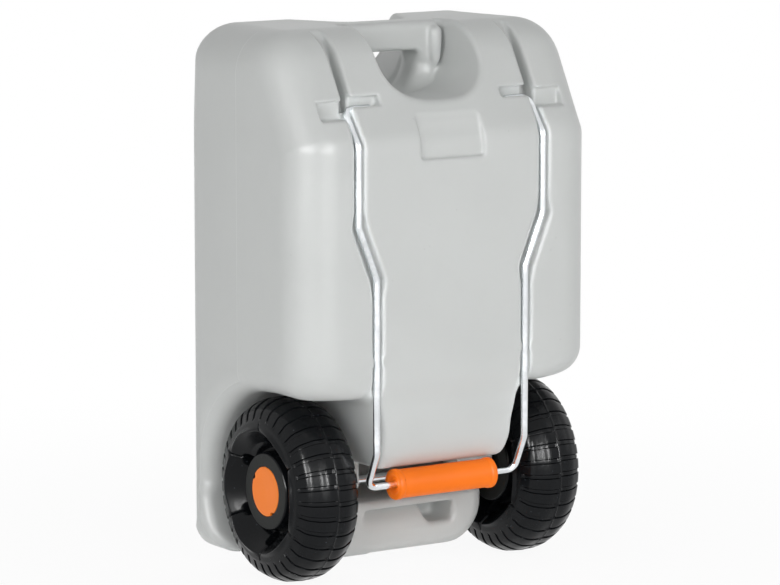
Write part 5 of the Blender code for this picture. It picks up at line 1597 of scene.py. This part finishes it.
class WASTE_TANK_OT_handle(bpy.types.Operator):
    """Make the pull handle and its grip"""
    bl_idname = "waste_tank.make_handle"
    bl_label = "Make pull handle"

    def execute(self, context):
        make_handle()
        make_grip()
        return {"FINISHED"}


class WASTE_TANK_OT_caps(bpy.types.Operator):
    """Make the screw caps and their seals"""
    bl_idname = "waste_tank.make_caps"
    bl_label = "Make screw caps"

    def execute(self, context):
        for word in CAPS:
            make_cap(word)
        return {"FINISHED"}


class WASTE_TANK_OT_stage(bpy.types.Operator):
    """Make the floor, the lights and the camera"""
    bl_idname = "waste_tank.make_stage"
    bl_label = "Make studio"

    def execute(self, context):
        make_stage()
        return {"FINISHED"}


class WASTE_TANK_PT_panel(bpy.types.Panel):
    """Settings and builders of the waste water tank"""
    bl_idname = "WASTE_TANK_PT_panel"
    bl_label = "Waste Water Tank"
    bl_space_type = "VIEW_3D"
    bl_region_type = "UI"
    bl_category = "Waste Tank"

    def draw(self, context):
        layout = self.layout
        for word, operators in SECTIONS.items():
            settings = getattr(context.scene, "waste_tank_" + word, None)
            column = layout.column(align=True)
            if settings:
                for name in settings.__annotations__:
                    column.prop(settings, name)
            for operator in operators:
                column.operator(operator.bl_idname)


SETTINGS = {"body": WASTE_TANK_PG_body, "wheels": WASTE_TANK_PG_wheels,
            "handle": WASTE_TANK_PG_handle, "caps": WASTE_TANK_PG_caps,
            "stage": WASTE_TANK_PG_stage}
SECTIONS = {"body": (WASTE_TANK_OT_body,), "wheels": (WASTE_TANK_OT_wheels, WASTE_TANK_OT_axle),
            "handle": (WASTE_TANK_OT_handle,), "caps": (WASTE_TANK_OT_caps,),
            "stage": (WASTE_TANK_OT_stage,)}
CLASSES = (*SETTINGS.values(), WASTE_TANK_OT_body, WASTE_TANK_OT_wheels, WASTE_TANK_OT_axle,
           WASTE_TANK_OT_handle, WASTE_TANK_OT_caps, WASTE_TANK_OT_stage, WASTE_TANK_PT_panel)


def register():
    """Add the classes and the settings to Blender."""
    for made in CLASSES:
        bpy.utils.register_class(made)
    for word, group in SETTINGS.items():
        setattr(bpy.types.Scene, "waste_tank_" + word, PointerProperty(type=group))


def unregister():
    """Take the settings and the classes out again."""
    for word in SETTINGS:
        delattr(bpy.types.Scene, "waste_tank_" + word)
    for made in reversed(CLASSES):
        bpy.utils.unregister_class(made)


def main():
    """Make every piece and the studio."""
    register()
    bpy.ops.waste_tank.make_body()
    bpy.ops.waste_tank.make_wheels()
    bpy.ops.waste_tank.make_axle()
    bpy.ops.waste_tank.make_handle()
    bpy.ops.waste_tank.make_caps()
    bpy.ops.waste_tank.make_stage()


if __name__ == "__main__":
    main()
